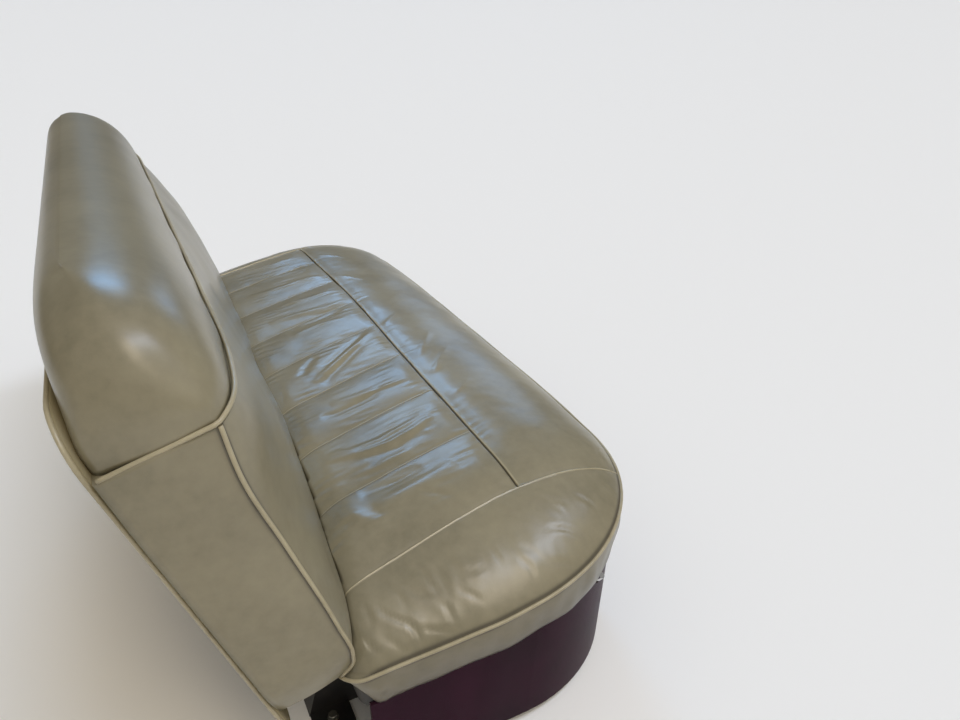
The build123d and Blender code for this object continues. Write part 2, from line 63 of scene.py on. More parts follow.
# Cushion, measured from the meeting line and parallel with its own top. HALF is half of its width
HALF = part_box("cushion")[1].x
REAR_HALF = HALF - 26 * MM
FRONT = -472 * MM
REAR = 62 * MM
TAPER_Y = -150 * MM
CORNER = 265 * MM
REAR_CORNER = 38 * MM
CORNER_X = HALF - CORNER
CORNER_Y = FRONT + CORNER
PIPING_LEVEL = -70 * MM
BASE_LEVEL = -141 * MM
BASE_INSET = 14 * MM
CROWN_HEIGHT = 82 * MM
CROWN_REACH = 215 * MM
CROWN_START = radians(15)
MIDDLE_RISE = 11 * MM
CROSS_SEAM_Y = -263 * MM
END_SEAM_X = 608 * MM
CHANNELS = 8
CHANNEL = 2 * END_SEAM_X / CHANNELS
# how far each channel is stuffed, in mm, from the right end to the left
CHANNEL_FULLNESS = (3.4, 4.2, 4.4, 4.0, 4.2, 4.4, 4.2, 3.4)
PIPING_RADIUS = 2.6 * MM

# The cushion cover's points: how close they lie, how many across an end, and how far from a seam, in mm
GRID = 3.8 * MM
END_COLUMNS = 38
SEAM_OFFSETS = (0, 0.8, 1.6, 2.6, 5.0)

# Backrest, measured from the meeting line and along its own rake
BACK_BOTTOM = -57 * MM
BACK_TOP = 349.5 * MM
BACK_DEPTH = 148 * MM
END_TAPER = 5 * MM
SHORT_SHOULDER = 72 * MM
LONG_SHOULDER = 190 * MM
TOP_PIPING_LEVEL = 350 * MM
TOP_PIPING_HALF = 718 * MM

# Backrest face, a row for each level. Columns: level, half width, y of its edge, y of its front, shoulder
BACK_ROWS = np.array([
    (-57, 706, 66, 56, 120),
    (-44, 712, 50, 26, 150),
    (-20, 720, 40, 2, 170),
    (40, 722, 36, -20, 190),
    (180, 722, 36, -30, 200),
    (290, 722, 36, -20, 190),
    (349.5, 718, 27, -7, 190),
]) * MM

# Top roll, a row for each level. Columns: level, half width, y of its edge, y of its front, end inset, rear y
ROLL_ROWS = np.array([
    (350.5, 718, 28, -6, 10, 148),
    (385, 716, 32, -7, 12, 148),
    (420, 708, 41, -2, 16, 146),
    (448, 692, 52, 11, 20, 142),
    (470, 667, 63, 30, 24, 136),
    (486, 632, 72, 54, 28, 124),
    (494, 590, 79, 74, 30, 110),
]) * MM
# how the roll's crest closes. Columns: share of its depth, share of its length, rise in mm
ROLL_CREST = ((0.8, 0.99, 0.9), (0.5, 0.97, 1.8), (0.25, 0.95, 2.3), (0.05, 0.94, 2.5))

# Rear panel, a covered board
PANEL_BOTTOM = -96 * MM
PANEL_TOP = 412 * MM
PANEL_TOP_CORNER = 60 * MM
PANEL_BOTTOM_CORNER = 24 * MM
PANEL_REAR = BACK_DEPTH + 7.4 * MM
# from the backrest out to the middle of its padding. Columns: size of the loop, how far behind its rear in mm
PANEL_LOOPS = ((1.0, -7), (1.0, -2.5), (0.998, -1), (0.99, 0), (0.93, 2), (0.7, 3), (0.35, 3.2))

# Fasteners and clips. Places in mm: on the floor, or in the cushion's own frame
FLOOR_BOLT_X = 590
FLOOR_BOLT_Y = 195
FOOT_TOP = 5
BOLT_ACROSS = 13
WASHER_REACH = 8.5
TRACK_X = 540
RAIL_TOP = -141.5
RAIL_BOTTOM = -179.5
FRONT_RAIL_Y = (-432, -406)
REAR_RAIL_Y = (22, 48)
SPRING_X = (75, 190, 305, 420)
SPRING_LEVEL = -144
BACK_BRACKET_X = (-560, 0, 560)

# The round on a CAD node's cut edges, in mm, by its slot
ROUNDED_EDGES = {"black_enamel": 0.6, "greased_steel": 0.4, "maroon_vinyl": 0.9}

random_draws = np.random.default_rng(1952)

# Soft waves of the backrest's face. Columns: heading, phase, radians for each metre
BACK_WAVES = [(random_draws.uniform(0, 2 * pi), random_draws.uniform(0, 2 * pi),
               2 * pi / (110 * MM * random_draws.uniform(0.6, 1.6))) for _ in range(16)]

# Curves and waves


def smoothstep(low, high, value):
    """0 below low, 1 above high, and a smooth rise between."""
    t = np.clip((value - low) / (high - low), 0.0, 1.0)
    return t * t * (3 - 2 * t)


def hump(distance, width):
    """1 on a line, falling off to nothing at about twice the width."""
    return np.exp(-((distance / width) ** 2))


def smooth_through(knots, values, at):
    """A curve through a few points, with the slope at each from its two neighbours."""
    knots, values = np.asarray(knots, float), np.asarray(values, float)
    slopes = np.gradient(values, knots)
    at = np.clip(at, knots[0], knots[-1])
    i = np.clip(np.searchsorted(knots, at) - 1, 0, len(knots) - 2)
    step = knots[i + 1] - knots[i]
    t = (at - knots[i]) / step
    start = (2 * t**3 - 3 * t**2 + 1) * values[i] + (t**3 - 2 * t**2 + t) * (slopes[i] * step)
    return start + (3 * t**2 - 2 * t**3) * values[i + 1] + (t**3 - t**2) * (slopes[i + 1] * step)


def ripples(x, y, wavelength, count=14, heading=0.0, spread=pi):
    """Soft random waves of about one wavelength and a height of about 1, running within spread of heading."""
    total = np.zeros(np.broadcast(x, y).shape)
    for _ in range(count):
        turn = heading + random_draws.uniform(-spread, spread)
        phase = random_draws.uniform(0, 2 * pi)
        number = 2 * pi / (wavelength * random_draws.uniform(0.7, 1.5))
        total += np.sin(number * (x * cos(turn) + y * sin(turn)) + phase)
    return total / sqrt(count)


def ripples_back(x, level):
    """Soft waves of the backrest's face, longer along it than up it."""
    total = np.zeros(x.shape)
    for turn, phase, number in BACK_WAVES:
        total += np.sin(number * (0.6 * x * cos(turn) + level * sin(turn)) + phase)
    return total / sqrt(len(BACK_WAVES))


def lengths_along(line):
    """How far along a line of points each of them lies."""
    return np.concatenate([[0], np.cumsum(np.hypot(*np.diff(line, axis=0).T))])


def joined(loop):
    """A loop of points or values, with the first one again at its end."""
    return np.concatenate([loop, loop[:1]])


def evenly(ring, spacing):
    """A closed loop of points, resampled at even steps."""
    closed = joined(ring)
    lengths = lengths_along(closed)
    at = np.linspace(0, lengths[-1], int(lengths[-1] / spacing), endpoint=False)
    return np.stack([np.interp(at, lengths, column) for column in closed.T], -1)


# Forms of the cushion and of the backrest's face


def side_x(y):
    """Half the cushion's width at y: straight sides that draw in towards the rear."""
    slope = (HALF - REAR_HALF) / (REAR - TAPER_Y)
    blend = 18 * MM
    past = y - TAPER_Y
    soft = np.where(past < -blend, 0.0, np.where(past > blend, past, (past + blend) ** 2 / (4 * blend)))
    return HALF - slope * soft


def edge_distances(x, y):
    """How far a point lies inside the front and side outline, and inside the rear one."""
    x = np.abs(x)
    straight = np.minimum(y - FRONT, side_x(y) - x)
    corner = CORNER - np.hypot(x - CORNER_X, y - CORNER_Y)
    inside = np.where((x > CORNER_X) & (y < CORNER_Y), corner, straight)
    return inside, REAR - y


def crown(x, y):
    """The stuffed cushion's height: an arc in from the piping, full in the middle."""
    side, rear = edge_distances(x, y)
    # at the rear the arc has half the reach, and a high power blends the two in the rear corners
    by_side = np.clip(1 - side / CROWN_REACH, 0, 1)
    by_rear = np.clip(1 - 2 * rear / CROWN_REACH, 0, 1)
    edge = np.clip((by_side**6 + by_rear**6) ** (1 / 6), 0, 1) * cos(CROWN_START)
    arc = (np.sqrt(1 - edge**2) - sin(CROWN_START)) / (1 - sin(CROWN_START))
    middle = MIDDLE_RISE * (1 - (x / HALF) ** 2) * smoothstep(0.0, 0.9 * CROWN_REACH, side)
    return PIPING_LEVEL + CROWN_HEIGHT * arc + middle


def pulled(x, y):
    """Where points of the sewn pattern lie on the worn seat, whose cover has crept over its stuffing."""
    side, _ = edge_distances(x, y)
    held_by_piping = 115 * MM
    free = np.clip(side / held_by_piping, 0, 1)
    # towards the right: more in the middle than at the ends, and most at the rear of the channels
    drift = 11 * MM * (1 - (x / HALF) ** 2) + 12 * MM * hump(x - 230 * MM, 200 * MM)
    rearward = np.clip((y - CROSS_SEAM_Y) / (213 * MM), 0, 1.3)
    drift += (13 + 26 * hump(x, 470 * MM)) * MM * rearward**1.3
    # and forwards, where the cross seam has bowed
    bow = 7 * MM * hump(x - 170 * MM, 250 * MM) * hump(y - CROSS_SEAM_Y, 75 * MM)
    return x - drift * free, y - bow * free


def eased(points):
    """Points of the cushion, with its front corners worn a little rounder than they were cut."""
    points = np.array(points, float)
    most_worn_x, wear, worn_reach = 510 * MM, 8 * MM, 125 * MM
    side = np.sign(points[:, 0])
    from_end = np.abs(points[:, 0])
    away = np.hypot(from_end - most_worn_x, points[:, 1] - FRONT)
    inward = np.stack([-side * np.clip(from_end - CORNER_X, 0, None), CORNER_Y - points[:, 1]], -1)
    inward /= np.maximum(np.linalg.norm(inward, axis=1, keepdims=True), 1e-6)
    points[:, :2] += (wear * hump(away, worn_reach))[:, None] * inward
    return points


def shoulder_turn(x, half, shoulder, level):
    """0 on the flat of the backrest and 1 at its end: a long soft turn low down, a short one at the top."""
    long = np.clip((np.abs(x) - (half - shoulder)) / shoulder, 0, 1)
    short = np.clip((np.abs(x) - (half - SHORT_SHOULDER)) / SHORT_SHOULDER, 0, 1)
    top = smoothstep(190 * MM, 330 * MM, level)
    return (1 - top) * (0.2 * long + 0.8 * long**2) + top * (0.5 * long**2 + 0.5 * short**3)


def back_face(x, level):
    """The front of the backrest at a level: settled where the driver leans, full beside it."""
    levels, *columns = BACK_ROWS.T
    half, edge, front, shoulder = (smooth_through(levels, column, level) for column in columns)
    turn = shoulder_turn(x, half, shoulder, level)
    between_edges = smoothstep(-30 * MM, 60 * MM, level) * smoothstep(345 * MM, 230 * MM, level)
    settled = 9 * MM * smoothstep(40 * MM, -140 * MM, x) * between_edges
    full = -11 * MM * hump(x - 390 * MM, 290 * MM) * between_edges
    front = front + settled + full
    # and slack at the foot of its right end
    at_foot = (1 - smoothstep(90 * MM, 230 * MM, level)) * smoothstep(-50 * MM, -20 * MM, level)
    slack = 17 * MM * hump(x + 575 * MM, 150 * MM) * at_foot
    return front + (edge - front) * turn + slack * (1 - turn)


def to_cushion(y, level):
    """A (y, z) pair of the backrest's own frame, in the cushion's."""
    turn = radians(BACK_RAKE - CUSHION_TILT)
    return y * cos(turn) + level * sin(turn), -y * sin(turn) + level * cos(turn)


def under_backrest(x, y):
    """The highest that the cushion can be, below and in front of the backrest."""
    levels = np.linspace(BACK_BOTTOM, 60 * MM, 14)
    rows = [to_cushion(back_face(x, np.full_like(x, level)), level) for level in levels]
    ys = np.array([row[0] for row in rows])
    zs = np.array([row[1] for row in rows])
    limit = np.full(x.shape, 1.0)
    for low in range(len(levels) - 1):
        y0, y1 = ys[low + 1], ys[low]
        z0, z1 = zs[low + 1], zs[low]
        inside = (y >= y0) & (y <= y1)
        t = (y - y0) / np.maximum(y1 - y0, 1e-6)
        limit = np.where(inside, np.minimum(limit, z0 + t * (z1 - z0)), limit)
    limit = np.where(y > ys[0], zs[0], limit)
    # the cover stays clear of the backrest, and is free past its ends
    past_end = smoothstep(716 * MM, 730 * MM, np.abs(x))
    return limit - 1.5 * MM + past_end * 60 * MM


# Folds of the worn leather, in mm. Columns: points along it (x, y), height, width on its near and far side
FOLDS = [
    ([(-33, -251), (-73, -200), (-96, -166), (-125, -131), (-152, -92)], 3.0, 9, 8),
    ([(-36, -228), (-71, -178), (-97, -147), (-110, -120)], -2.6, 9, 9),
    ([(-57, -122), (-86, -95), (-118, -76)], -2.0, 10, 8),
    ([(-80, -209), (-106, -177), (-136, -134), (-166, -104)], -2.4, 12, 8),
    ([(-250, -190), (-268, -164), (-274, -130), (-278, -95), (-272, -70)], -2.2, 9, 7),
    ([(-251, -239), (-256, -174), (-251, -134), (-246, -96)], 1.8, 9, 8),
    ([(-391, -227), (-406, -185), (-415, -143), (-411, -95), (-394, -38)], 3.2, 7, 9),
    ([(-377, -220), (-390, -170), (-397, -130), (-395, -85), (-380, -50)], 2.4, 6, 6),
    ([(-420, -200), (-432, -150), (-428, -95)], -2.0, 12, 7),
    ([(-521, -205), (-530, -160), (-537, -110), (-542, -70)], 3.4, 20, 12),
    ([(-515, -17), (-536, -39), (-562, -53), (-574, -78)], 2.6, 12, 12),
    ([(-500, -60), (-505, -110), (-498, -160)], -2.4, 14, 12),
    ([(-546, -134), (-561, -153), (-583, -174)], -1.4, 5, 5),
    ([(-449, -163), (-452, -125), (-460, -86)], 1.6, 7, 6),
    ([(-101, -349), (-162, -310), (-199, -285)], 1.5, 6, 9),
    ([(-183, -351), (-222, -318), (-264, -283)], 1.3, 6, 5),
    ([(-233, -314), (-271, -285)], 1.2, 5, 5),
    ([(-320, -332), (-340, -306), (-358, -279)], 1.0, 5, 4),
    ([(20, -330), (-10, -300), (-30, -278)], 1.2, 6, 6),
    ([(150, -255), (146, -200), (158, -140), (162, -80)], 2.4, 10, 8),
    ([(110, -230), (96, -170), (104, -110)], -1.6, 10, 10),
    ([(228, -240), (222, -190), (236, -120)], 2.0, 9, 9),
    ([(330, -250), (345, -190), (338, -120), (350, -70)], 2.4, 12, 9),
    ([(420, -210), (430, -150), (424, -95)], 1.8, 10, 8),
    ([(520, -230), (512, -170), (528, -100), (524, -60)], 2.4, 12, 10),
    ([(60, -225), (72, -165), (66, -110)], 1.5, 8, 7),
    ([(245, -330), (282, -300), (310, -280)], 1.2, 6, 5),
    ([(430, -345), (462, -312), (485, -284)], 1.2, 6, 5),
]

# Creases of the ends, in mm, most of them beside the piping. Columns: points along it (x, y), depth
CREASES = [
    ([(-672, -10), (-690, -22), (-705, -38), (-721, -47), (-735, -52)], 1.7),
    ([(-715, -48), (-727, -71), (-738, -95)], 1.8),
    ([(-700, -84), (-712, -92), (-724, -93), (-738, -95)], 1.3),
    ([(-700, -112), (-713, -127), (-726, -139)], 1.2),
    ([(-684, -262), (-693, -288), (-705, -304), (-718, -316)], 1.6),
    ([(-652, -332), (-665, -345), (-680, -352)], 1.2),
    ([(-722, -245), (-730, -270), (-735, -284)], 1.1),
    ([(-706, -8), (-720, -18), (-736, -32), (-744, -44)], 1.7),
    ([(-717, 12), (-730, 0), (-743, -15)], 1.7),
    ([(-718, 34), (-730, 27), (-740, 19)], 1.6),
    ([(-655, -82), (-676, -86), (-700, -92)], 0.9),
    ([(-701, -40), (-716, -46), (-734, -42)], 1.4),
    ([(-660, 2), (-690, -1)], 1.0),
    ([(-721, -55), (-734, -62), (-744, -75)], 1.4),
    ([(-635, -215), (-652, -232), (-667, -247)], 0.8),
    ([(-651, -285), (-672, -300)], 0.8),
    ([(-700, -205), (-718, -214), (-735, -212)], 0.9),
    ([(-622, -150), (-640, -165)], 0.7),
    ([(-640, -392), (-655, -404)], 0.9),
    ([(-560, -452), (-566, -436), (-580, -424)], 0.9),
    ([(-668, -52), (-684, -66), (-694, -84)], 1.0),
    ([(-676, -120), (-690, -136), (-696, -160)], 1.0),
    ([(-640, -60), (-658, -76), (-668, -98)], 0.7),
    ([(-664, -170), (-680, -180), (-700, -182)], 0.8),
    ([(-690, -215), (-705, -230), (-722, -236)], 0.9),
    ([(-625, -268), (-640, -280), (-662, -312)], 0.7),
    ([(-690, 20), (-708, 12), (-726, -2)], 1.2),
    ([(-650, -30), (-672, -44), (-690, -48)], 0.8),
    ([(690, -260), (704, -275), (715, -286)], 1.1),
    ([(700, -70), (716, -78), (734, -82)], 1.3),
    ([(700, -118), (716, -130), (734, -138)], 1.1),
    ([(650, -200), (668, -215), (684, -226)], 0.8),
    ([(684, -12), (706, -22), (726, -34)], 1.4),
    ([(700, 22), (716, 14), (730, 4)], 1.4),
    ([(655, -335), (668, -347), (682, -353)], 1.1),
    ([(640, -20), (664, -30), (690, -32)], 1.0),
]


def fold_height(x, y, points, height, near, far):
    """One fold: highest along its line, as wide as told on each side, and gone at both ends."""
    line = np.array(points, float) * MM
    lengths = np.hypot(*np.diff(line, axis=0).T)
    total = lengths.sum()
    nearest = np.full(x.shape, 1.0)
    along = np.zeros(x.shape)
    side = np.ones(x.shape)
    start = 0.0
    for (ax, ay), (bx, by), length in zip(line[:-1], line[1:], lengths):
        ux, uy = (bx - ax) / length, (by - ay) / length
        t = np.clip((x - ax) * ux + (y - ay) * uy, 0, length)
        across = (x - ax) * uy - (y - ay) * ux
        away = np.hypot(x - ax - t * ux, y - ay - t * uy)
        nearer = away < nearest
        nearest = np.where(nearer, away, nearest)
        along = np.where(nearer, (start + t) / total, along)
        side = np.where(nearer, np.sign(across), side)
        start += length
    width = np.where(side < 0, near, far) * MM
    return height * MM * hump(nearest, width) * np.sqrt(np.clip(np.sin(pi * along), 0, 1))


def seam_shape(distance, height):
    """A sewn seam in leather: a narrow ridge of turned-in edges between two small grooves."""
    away = np.abs(distance)
    return height * hump(away, 1.1 * MM) - 0.5 * height * hump(away - 2.6 * MM, 1.3 * MM)


def sewn_detail(x, y):
    """Heights that sewing adds to the crown, how dark each point is painted with dirt and painted shade, and
    how near to a seam's ridge.
    """
    # the channels behind the cross seam, each a pillow that rises over the crown between two sunk seams
    behind = smoothstep(CROSS_SEAM_Y, CROSS_SEAM_Y + 30 * MM, y)
    between = np.abs(x) < END_SEAM_X
    place = (x + END_SEAM_X) / CHANNEL
    number = np.clip(np.floor(place), 0, CHANNELS - 1).astype(int)
    pillow = np.abs(np.sin(pi * place)) ** 0.75
    fullness = np.array(CHANNEL_FULLNESS)[number] * MM
    height = np.where(between, fullness * (pillow - 0.55) * behind, 0.0)
    # the seams that run fore and aft, and the dip that each end seam lies in
    from_channel = (place - np.round(place)) * CHANNEL
    sewn = np.where(between, behind**0.3, 0.0)
    inner = np.where(np.abs(np.abs(x) - END_SEAM_X) < 12 * MM, 0.0, sewn)
    from_end = np.abs(x) - END_SEAM_X
    height += seam_shape(from_channel, 0.7 * MM) * inner + seam_shape(from_end, 0.9 * MM)
    height -= 1.8 * MM * np.clip(1 - np.abs(from_end) / (45 * MM), 0, 1) ** 2
    # the cross seam: a ridge in front of a deep groove, in a broad dip
    across = y - CROSS_SEAM_Y
    reach = smoothstep(END_SEAM_X + 2 * MM, END_SEAM_X - 8 * MM, np.abs(x))
    groove = hump(across - 0.8 * MM, 1.3 * MM)
    ridge = hump(across + 1.6 * MM, 1.1 * MM)
    height += reach * (0.8 * MM * ridge - 2.8 * MM * groove - 2.6 * MM * hump(across, 17 * MM))
    # painted shade: the cross seam's groove darkened, as dirt and shade, and a painted shadow line along the
    # near side of each channel seam
    dirt_and_shade = np.maximum(groove * reach, 0.4 * hump(from_channel + 2.4 * MM, 1.3 * MM) * inner)
    # the seams' ridges and the ridge in front of the cross seam are painted paler, partly as rubbed wear and
    # partly as a painted highlight
    seam = np.maximum(hump(from_end, 0.9 * MM), 0.7 * hump(from_channel, 0.8 * MM) * inner)
    return height, dirt_and_shade, np.maximum(seam, 0.7 * ridge * reach)


def wrinkles(x, y):
    """The folds and creases of the cushion's top, gone at the piping."""
    side, _ = edge_distances(x, y)
    height = np.zeros(x.shape)
    for points, rise, near, far in FOLDS:
        height += fold_height(x, y, points, rise, near, far)
    for points, depth in CREASES:
        # a narrow groove in a broad low swelling
        height -= fold_height(x, y, points, 1.7 * depth, 3.4, 3.4)
        height += fold_height(x, y, points, depth, 11.0, 11.0)
    height += 0.5 * MM * ripples(x, y, 110 * MM) + 0.1 * MM * ripples(x, y, 38 * MM)
    # fine streaks in patches: fore and aft in the channels, and out towards the piping at the ends
    patchy = np.clip(0.35 + ripples(x, y, 90 * MM), 0, 1.6)
    seat = smoothstep(END_SEAM_X + 4 * MM, END_SEAM_X - 30 * MM, np.abs(x))
    drawn = 0.34 * seat * smoothstep(CROSS_SEAM_Y - 60 * MM, CROSS_SEAM_Y + 20 * MM, y)
    height += MM * drawn * patchy * ripples(x, y, 17 * MM, 18, 0.0, 0.22)
    height += 0.16 * MM * (1 - seat) * patchy * ripples(x, y, 22 * MM, 18, pi / 2, 0.5)
    return height * smoothstep(0.0, 14 * MM, side)


def cushion_top(x, y):
    """The cushion's finished top at points of its sewn pattern: where they lie, how dark they are painted
    with dirt and painted shade, and how near a seam.
    """
    detail, dirt_and_shade, seam = sewn_detail(x, y)
    x, y = pulled(x, y)
    side, _ = edge_distances(x, y)
    height = crown(x, y) + detail * smoothstep(0.0, 10 * MM, side) + wrinkles(x, y)
    limit = under_backrest(x, y)
    tucked = np.maximum(np.minimum(height, limit), PIPING_LEVEL)
    # painted shade in the fold below the backrest, and a painted shadow line along the piping
    dirt_and_shade = np.maximum(dirt_and_shade, 0.8 * smoothstep(-16 * MM, -2 * MM, height - limit))
    dirt_and_shade = np.maximum(dirt_and_shade, 0.7 * hump(side - 2.4 * MM, 1.8 * MM))
    return np.stack([x, y, tucked], -1), {"dirt_and_shade": dirt_and_shade, "seam": seam}


# Skins and cords


class Skin:
    """Points and faces of one cover, gathered panel by panel, each point with its marks of dirt and painted
    shade, and of seams.
    """

    def __init__(self):
        """An empty skin."""
        self.points = []
        self.faces = []
        self.marks = {"dirt_and_shade": [], "seam": []}

    def panel(self, grid, marks=None):
        """Adds a grid of points, rows by columns, as a sheet of quads."""
        rows, columns = grid.shape[:2]
        first = len(self.points)
        self.points += [tuple(p) for p in grid.reshape(-1, 3)]
        for name in self.marks:
            self.marks[name] += list((marks or {}).get(name, np.zeros((rows, columns))).reshape(-1))
        index = first + np.arange(rows * columns).reshape(rows, columns)
        corners = [index[:-1, :-1], index[:-1, 1:], index[1:, 1:], index[1:, :-1]]
        self.faces += [tuple(f) for f in np.stack(corners, -1).reshape(-1, 4).tolist()]

    def cap(self, loop):
        """Closes a loop of points with one flat face."""
        first = len(self.points)
        self.points += [tuple(p) for p in loop]
        for name in self.marks:
            self.marks[name] += [0.0] * len(loop)
        self.faces.append(tuple(range(first, first + len(loop))))

    def build(self, name, matrix):
        """One mesh object, with its panels welded wherever their edges meet."""
        mesh = bpy.data.meshes.new(name)
        mesh.from_pydata([matrix @ Vector(p) for p in self.points], [], self.faces)
        for mark, values in self.marks.items():
            attribute = mesh.attributes.new(mark, "FLOAT", "POINT")
            attribute.data.foreach_set("value", np.array(values, dtype=np.float32))
        bm = bmesh.new()
        bm.from_mesh(mesh)
        bmesh.ops.remove_doubles(bm, verts=bm.verts, dist=0.05 * MM)
        bmesh.ops.dissolve_degenerate(bm, edges=bm.edges, dist=0.02 * MM)
        bmesh.ops.recalc_face_normals(bm, faces=bm.faces)
        bm.to_mesh(mesh)
        bm.free()
        for face in mesh.polygons:
            face.use_smooth = True
        return link_object(name, mesh)


def link_object(name, data):
    """An object for a mesh or a camera, in the scene."""
    obj = bpy.data.objects.new(name, data)
    bpy.context.scene.collection.objects.link(obj)
    return obj


def tube(name, points, radius, matrix, closed=True, sides=10, wobble=0.0):
    """A round cord along points, as a mesh."""
    line = [matrix @ Vector(p) for p in points]
    count = len(line)
    rings = []
    up = Vector((0, 0, 1))
    for i, here in enumerate(line):
        ahead = line[(i + 1) % count] if closed or i < count - 1 else here
        behind = line[i - 1] if closed or i > 0 else here
        along = (ahead - behind).normalized()
        out = along.cross(up)
        if out.length < 0.2:
            out = along.cross(Vector((0, 1, 0)))
        out.normalize()
        top = out.cross(along)
        size = radius * (1 + wobble * random_draws.uniform(-1, 1))
        angles = [2 * pi * s / sides for s in range(sides)]
        rings.append([tuple(here + size * (cos(t) * out + sin(t) * top)) for t in angles])
        up = top
    skin = Skin()
    grid = np.array([joined(ring) for ring in rings])
    skin.panel(joined(grid) if closed else grid)
    if not closed:
        skin.cap(rings[0])
        skin.cap(rings[-1])
    return skin.build(name, Matrix.Identity(4))


def loft(name, loops, matrix, dirt_and_shade=None):
    """A closed skin through loops of points, each an array of (x, y, z), with a cap at both ends."""
    skin = Skin()
    marks = {} if dirt_and_shade is None else {"dirt_and_shade": np.array([joined(row) for row in dirt_and_shade])}
    skin.panel(np.array([joined(loop) for loop in loops]), marks)
    skin.cap(loops[0])
    skin.cap(loops[-1])
    return skin.build(name, matrix)


# How the cushion cover is cut into panels


def graded(span, step):
    """Places across a panel, close together beside the seams at both of its ends."""
    inner = np.array(SEAM_OFFSETS) * MM
    count = max(int((span - 2 * inner[-1]) / step), 2)
    middle = np.linspace(inner[-1], span - inner[-1], count + 1)
    return np.unique(np.round(np.concatenate([inner, middle, span - inner]), 7))


def outline_point(x):
    """y of the front outline at x."""
    past = np.clip(np.abs(x) - CORNER_X, 0, CORNER)
    return CORNER_Y - np.sqrt(CORNER**2 - past**2)


def channel_columns(step):
    """x of every column between the two end seams."""
    across = graded(CHANNEL, step)
    columns = np.concatenate([across[:-1] + i * CHANNEL for i in range(CHANNELS)] + [[CHANNELS * CHANNEL]])
    return columns - END_SEAM_X


def cushion_grids(step):
    """The plan of the cushion's top between its end seams: a grid behind the cross seam, one before it."""
    x = channel_columns(step)
    # rows from the cross seam to the rear, far apart once they are under the backrest
    visible = CROSS_SEAM_Y + graded(-CROSS_SEAM_Y + 10 * MM, step)
    hidden = np.linspace(visible[-1], REAR, 12)[1:]
    rear_rows = np.concatenate([visible, hidden])
    rear = np.meshgrid(rear_rows, x, indexing="ij")
    # rows from the cross seam to the front piping, closer together where the crown turns down
    crown_length = 270 * MM
    start = np.arccos(1 - (CROSS_SEAM_Y - FRONT) / CROWN_REACH)
    turns = np.linspace(start, 0, int(crown_length / step))
    share = 1 - (1 - np.cos(turns)) / (1 - np.cos(start))
    near_seam = np.array(SEAM_OFFSETS[1:]) * MM / (CROSS_SEAM_Y - FRONT)
    past_seam = share[share > near_seam[-1] * 1.2]
    share = np.unique(np.concatenate([past_seam, near_seam, [0.0]]))
    front_y = CROSS_SEAM_Y + share[:, None] * (outline_point(x)[None, :] - CROSS_SEAM_Y)
    front = (front_y, np.broadcast_to(x, front_y.shape))
    return rear, front


def end_outline(seam_y):
    """Points of an end's outline, one for each row of the seam beside it."""
    # the line from the tip of the end panel, round the front corner and along the side to the rear
    angles = np.linspace(np.arccos((END_SEAM_X - CORNER_X) / CORNER), 0, 60)
    arc = np.stack([CORNER_X + CORNER * np.cos(angles), CORNER_Y - CORNER * np.sin(angles)], -1)
    corner_y = REAR - REAR_CORNER
    side_y = np.linspace(CORNER_Y, corner_y, 60)[1:]
    side = np.stack([side_x(side_y), side_y], -1)
    turn = np.linspace(0, pi / 2, 16)[1:]
    corner_x = side_x(corner_y) - REAR_CORNER
    corner = np.stack([corner_x + REAR_CORNER * np.cos(turn), corner_y + REAR_CORNER * np.sin(turn)], -1)
    line = np.concatenate([arc, side, corner])
    lengths = lengths_along(line)
    tip = outline_point(END_SEAM_X)
    along = (seam_y - tip) / (REAR - tip) * lengths[-1]
    return np.interp(along, lengths, line[:, 0]), np.interp(along, lengths, line[:, 1])


def end_grid(side, seam_y, across):
    """An end panel, in rows from the end seam out to the piping."""
    out_x, out_y = end_outline(seam_y)
    depth, _ = edge_distances(np.full_like(seam_y, END_SEAM_X), seam_y)
    start = np.arccos(1 - np.clip(depth, 1e-5, CROWN_REACH) / CROWN_REACH)
    step = np.linspace(1, 0, across)
    share = 1 - (1 - np.cos(start[:, None] * step[None, :])) / (1 - np.cos(start[:, None]))
    near = np.array(SEAM_OFFSETS[1:]) * MM / (HALF - END_SEAM_X)
    share = np.sort(np.concatenate([share, np.broadcast_to(near, (len(seam_y), len(near)))], axis=1), axis=1)
    x = END_SEAM_X + share * (out_x[:, None] - END_SEAM_X)
    y = seam_y[:, None] + share * (out_y[:, None] - seam_y[:, None])
    return side * x, y


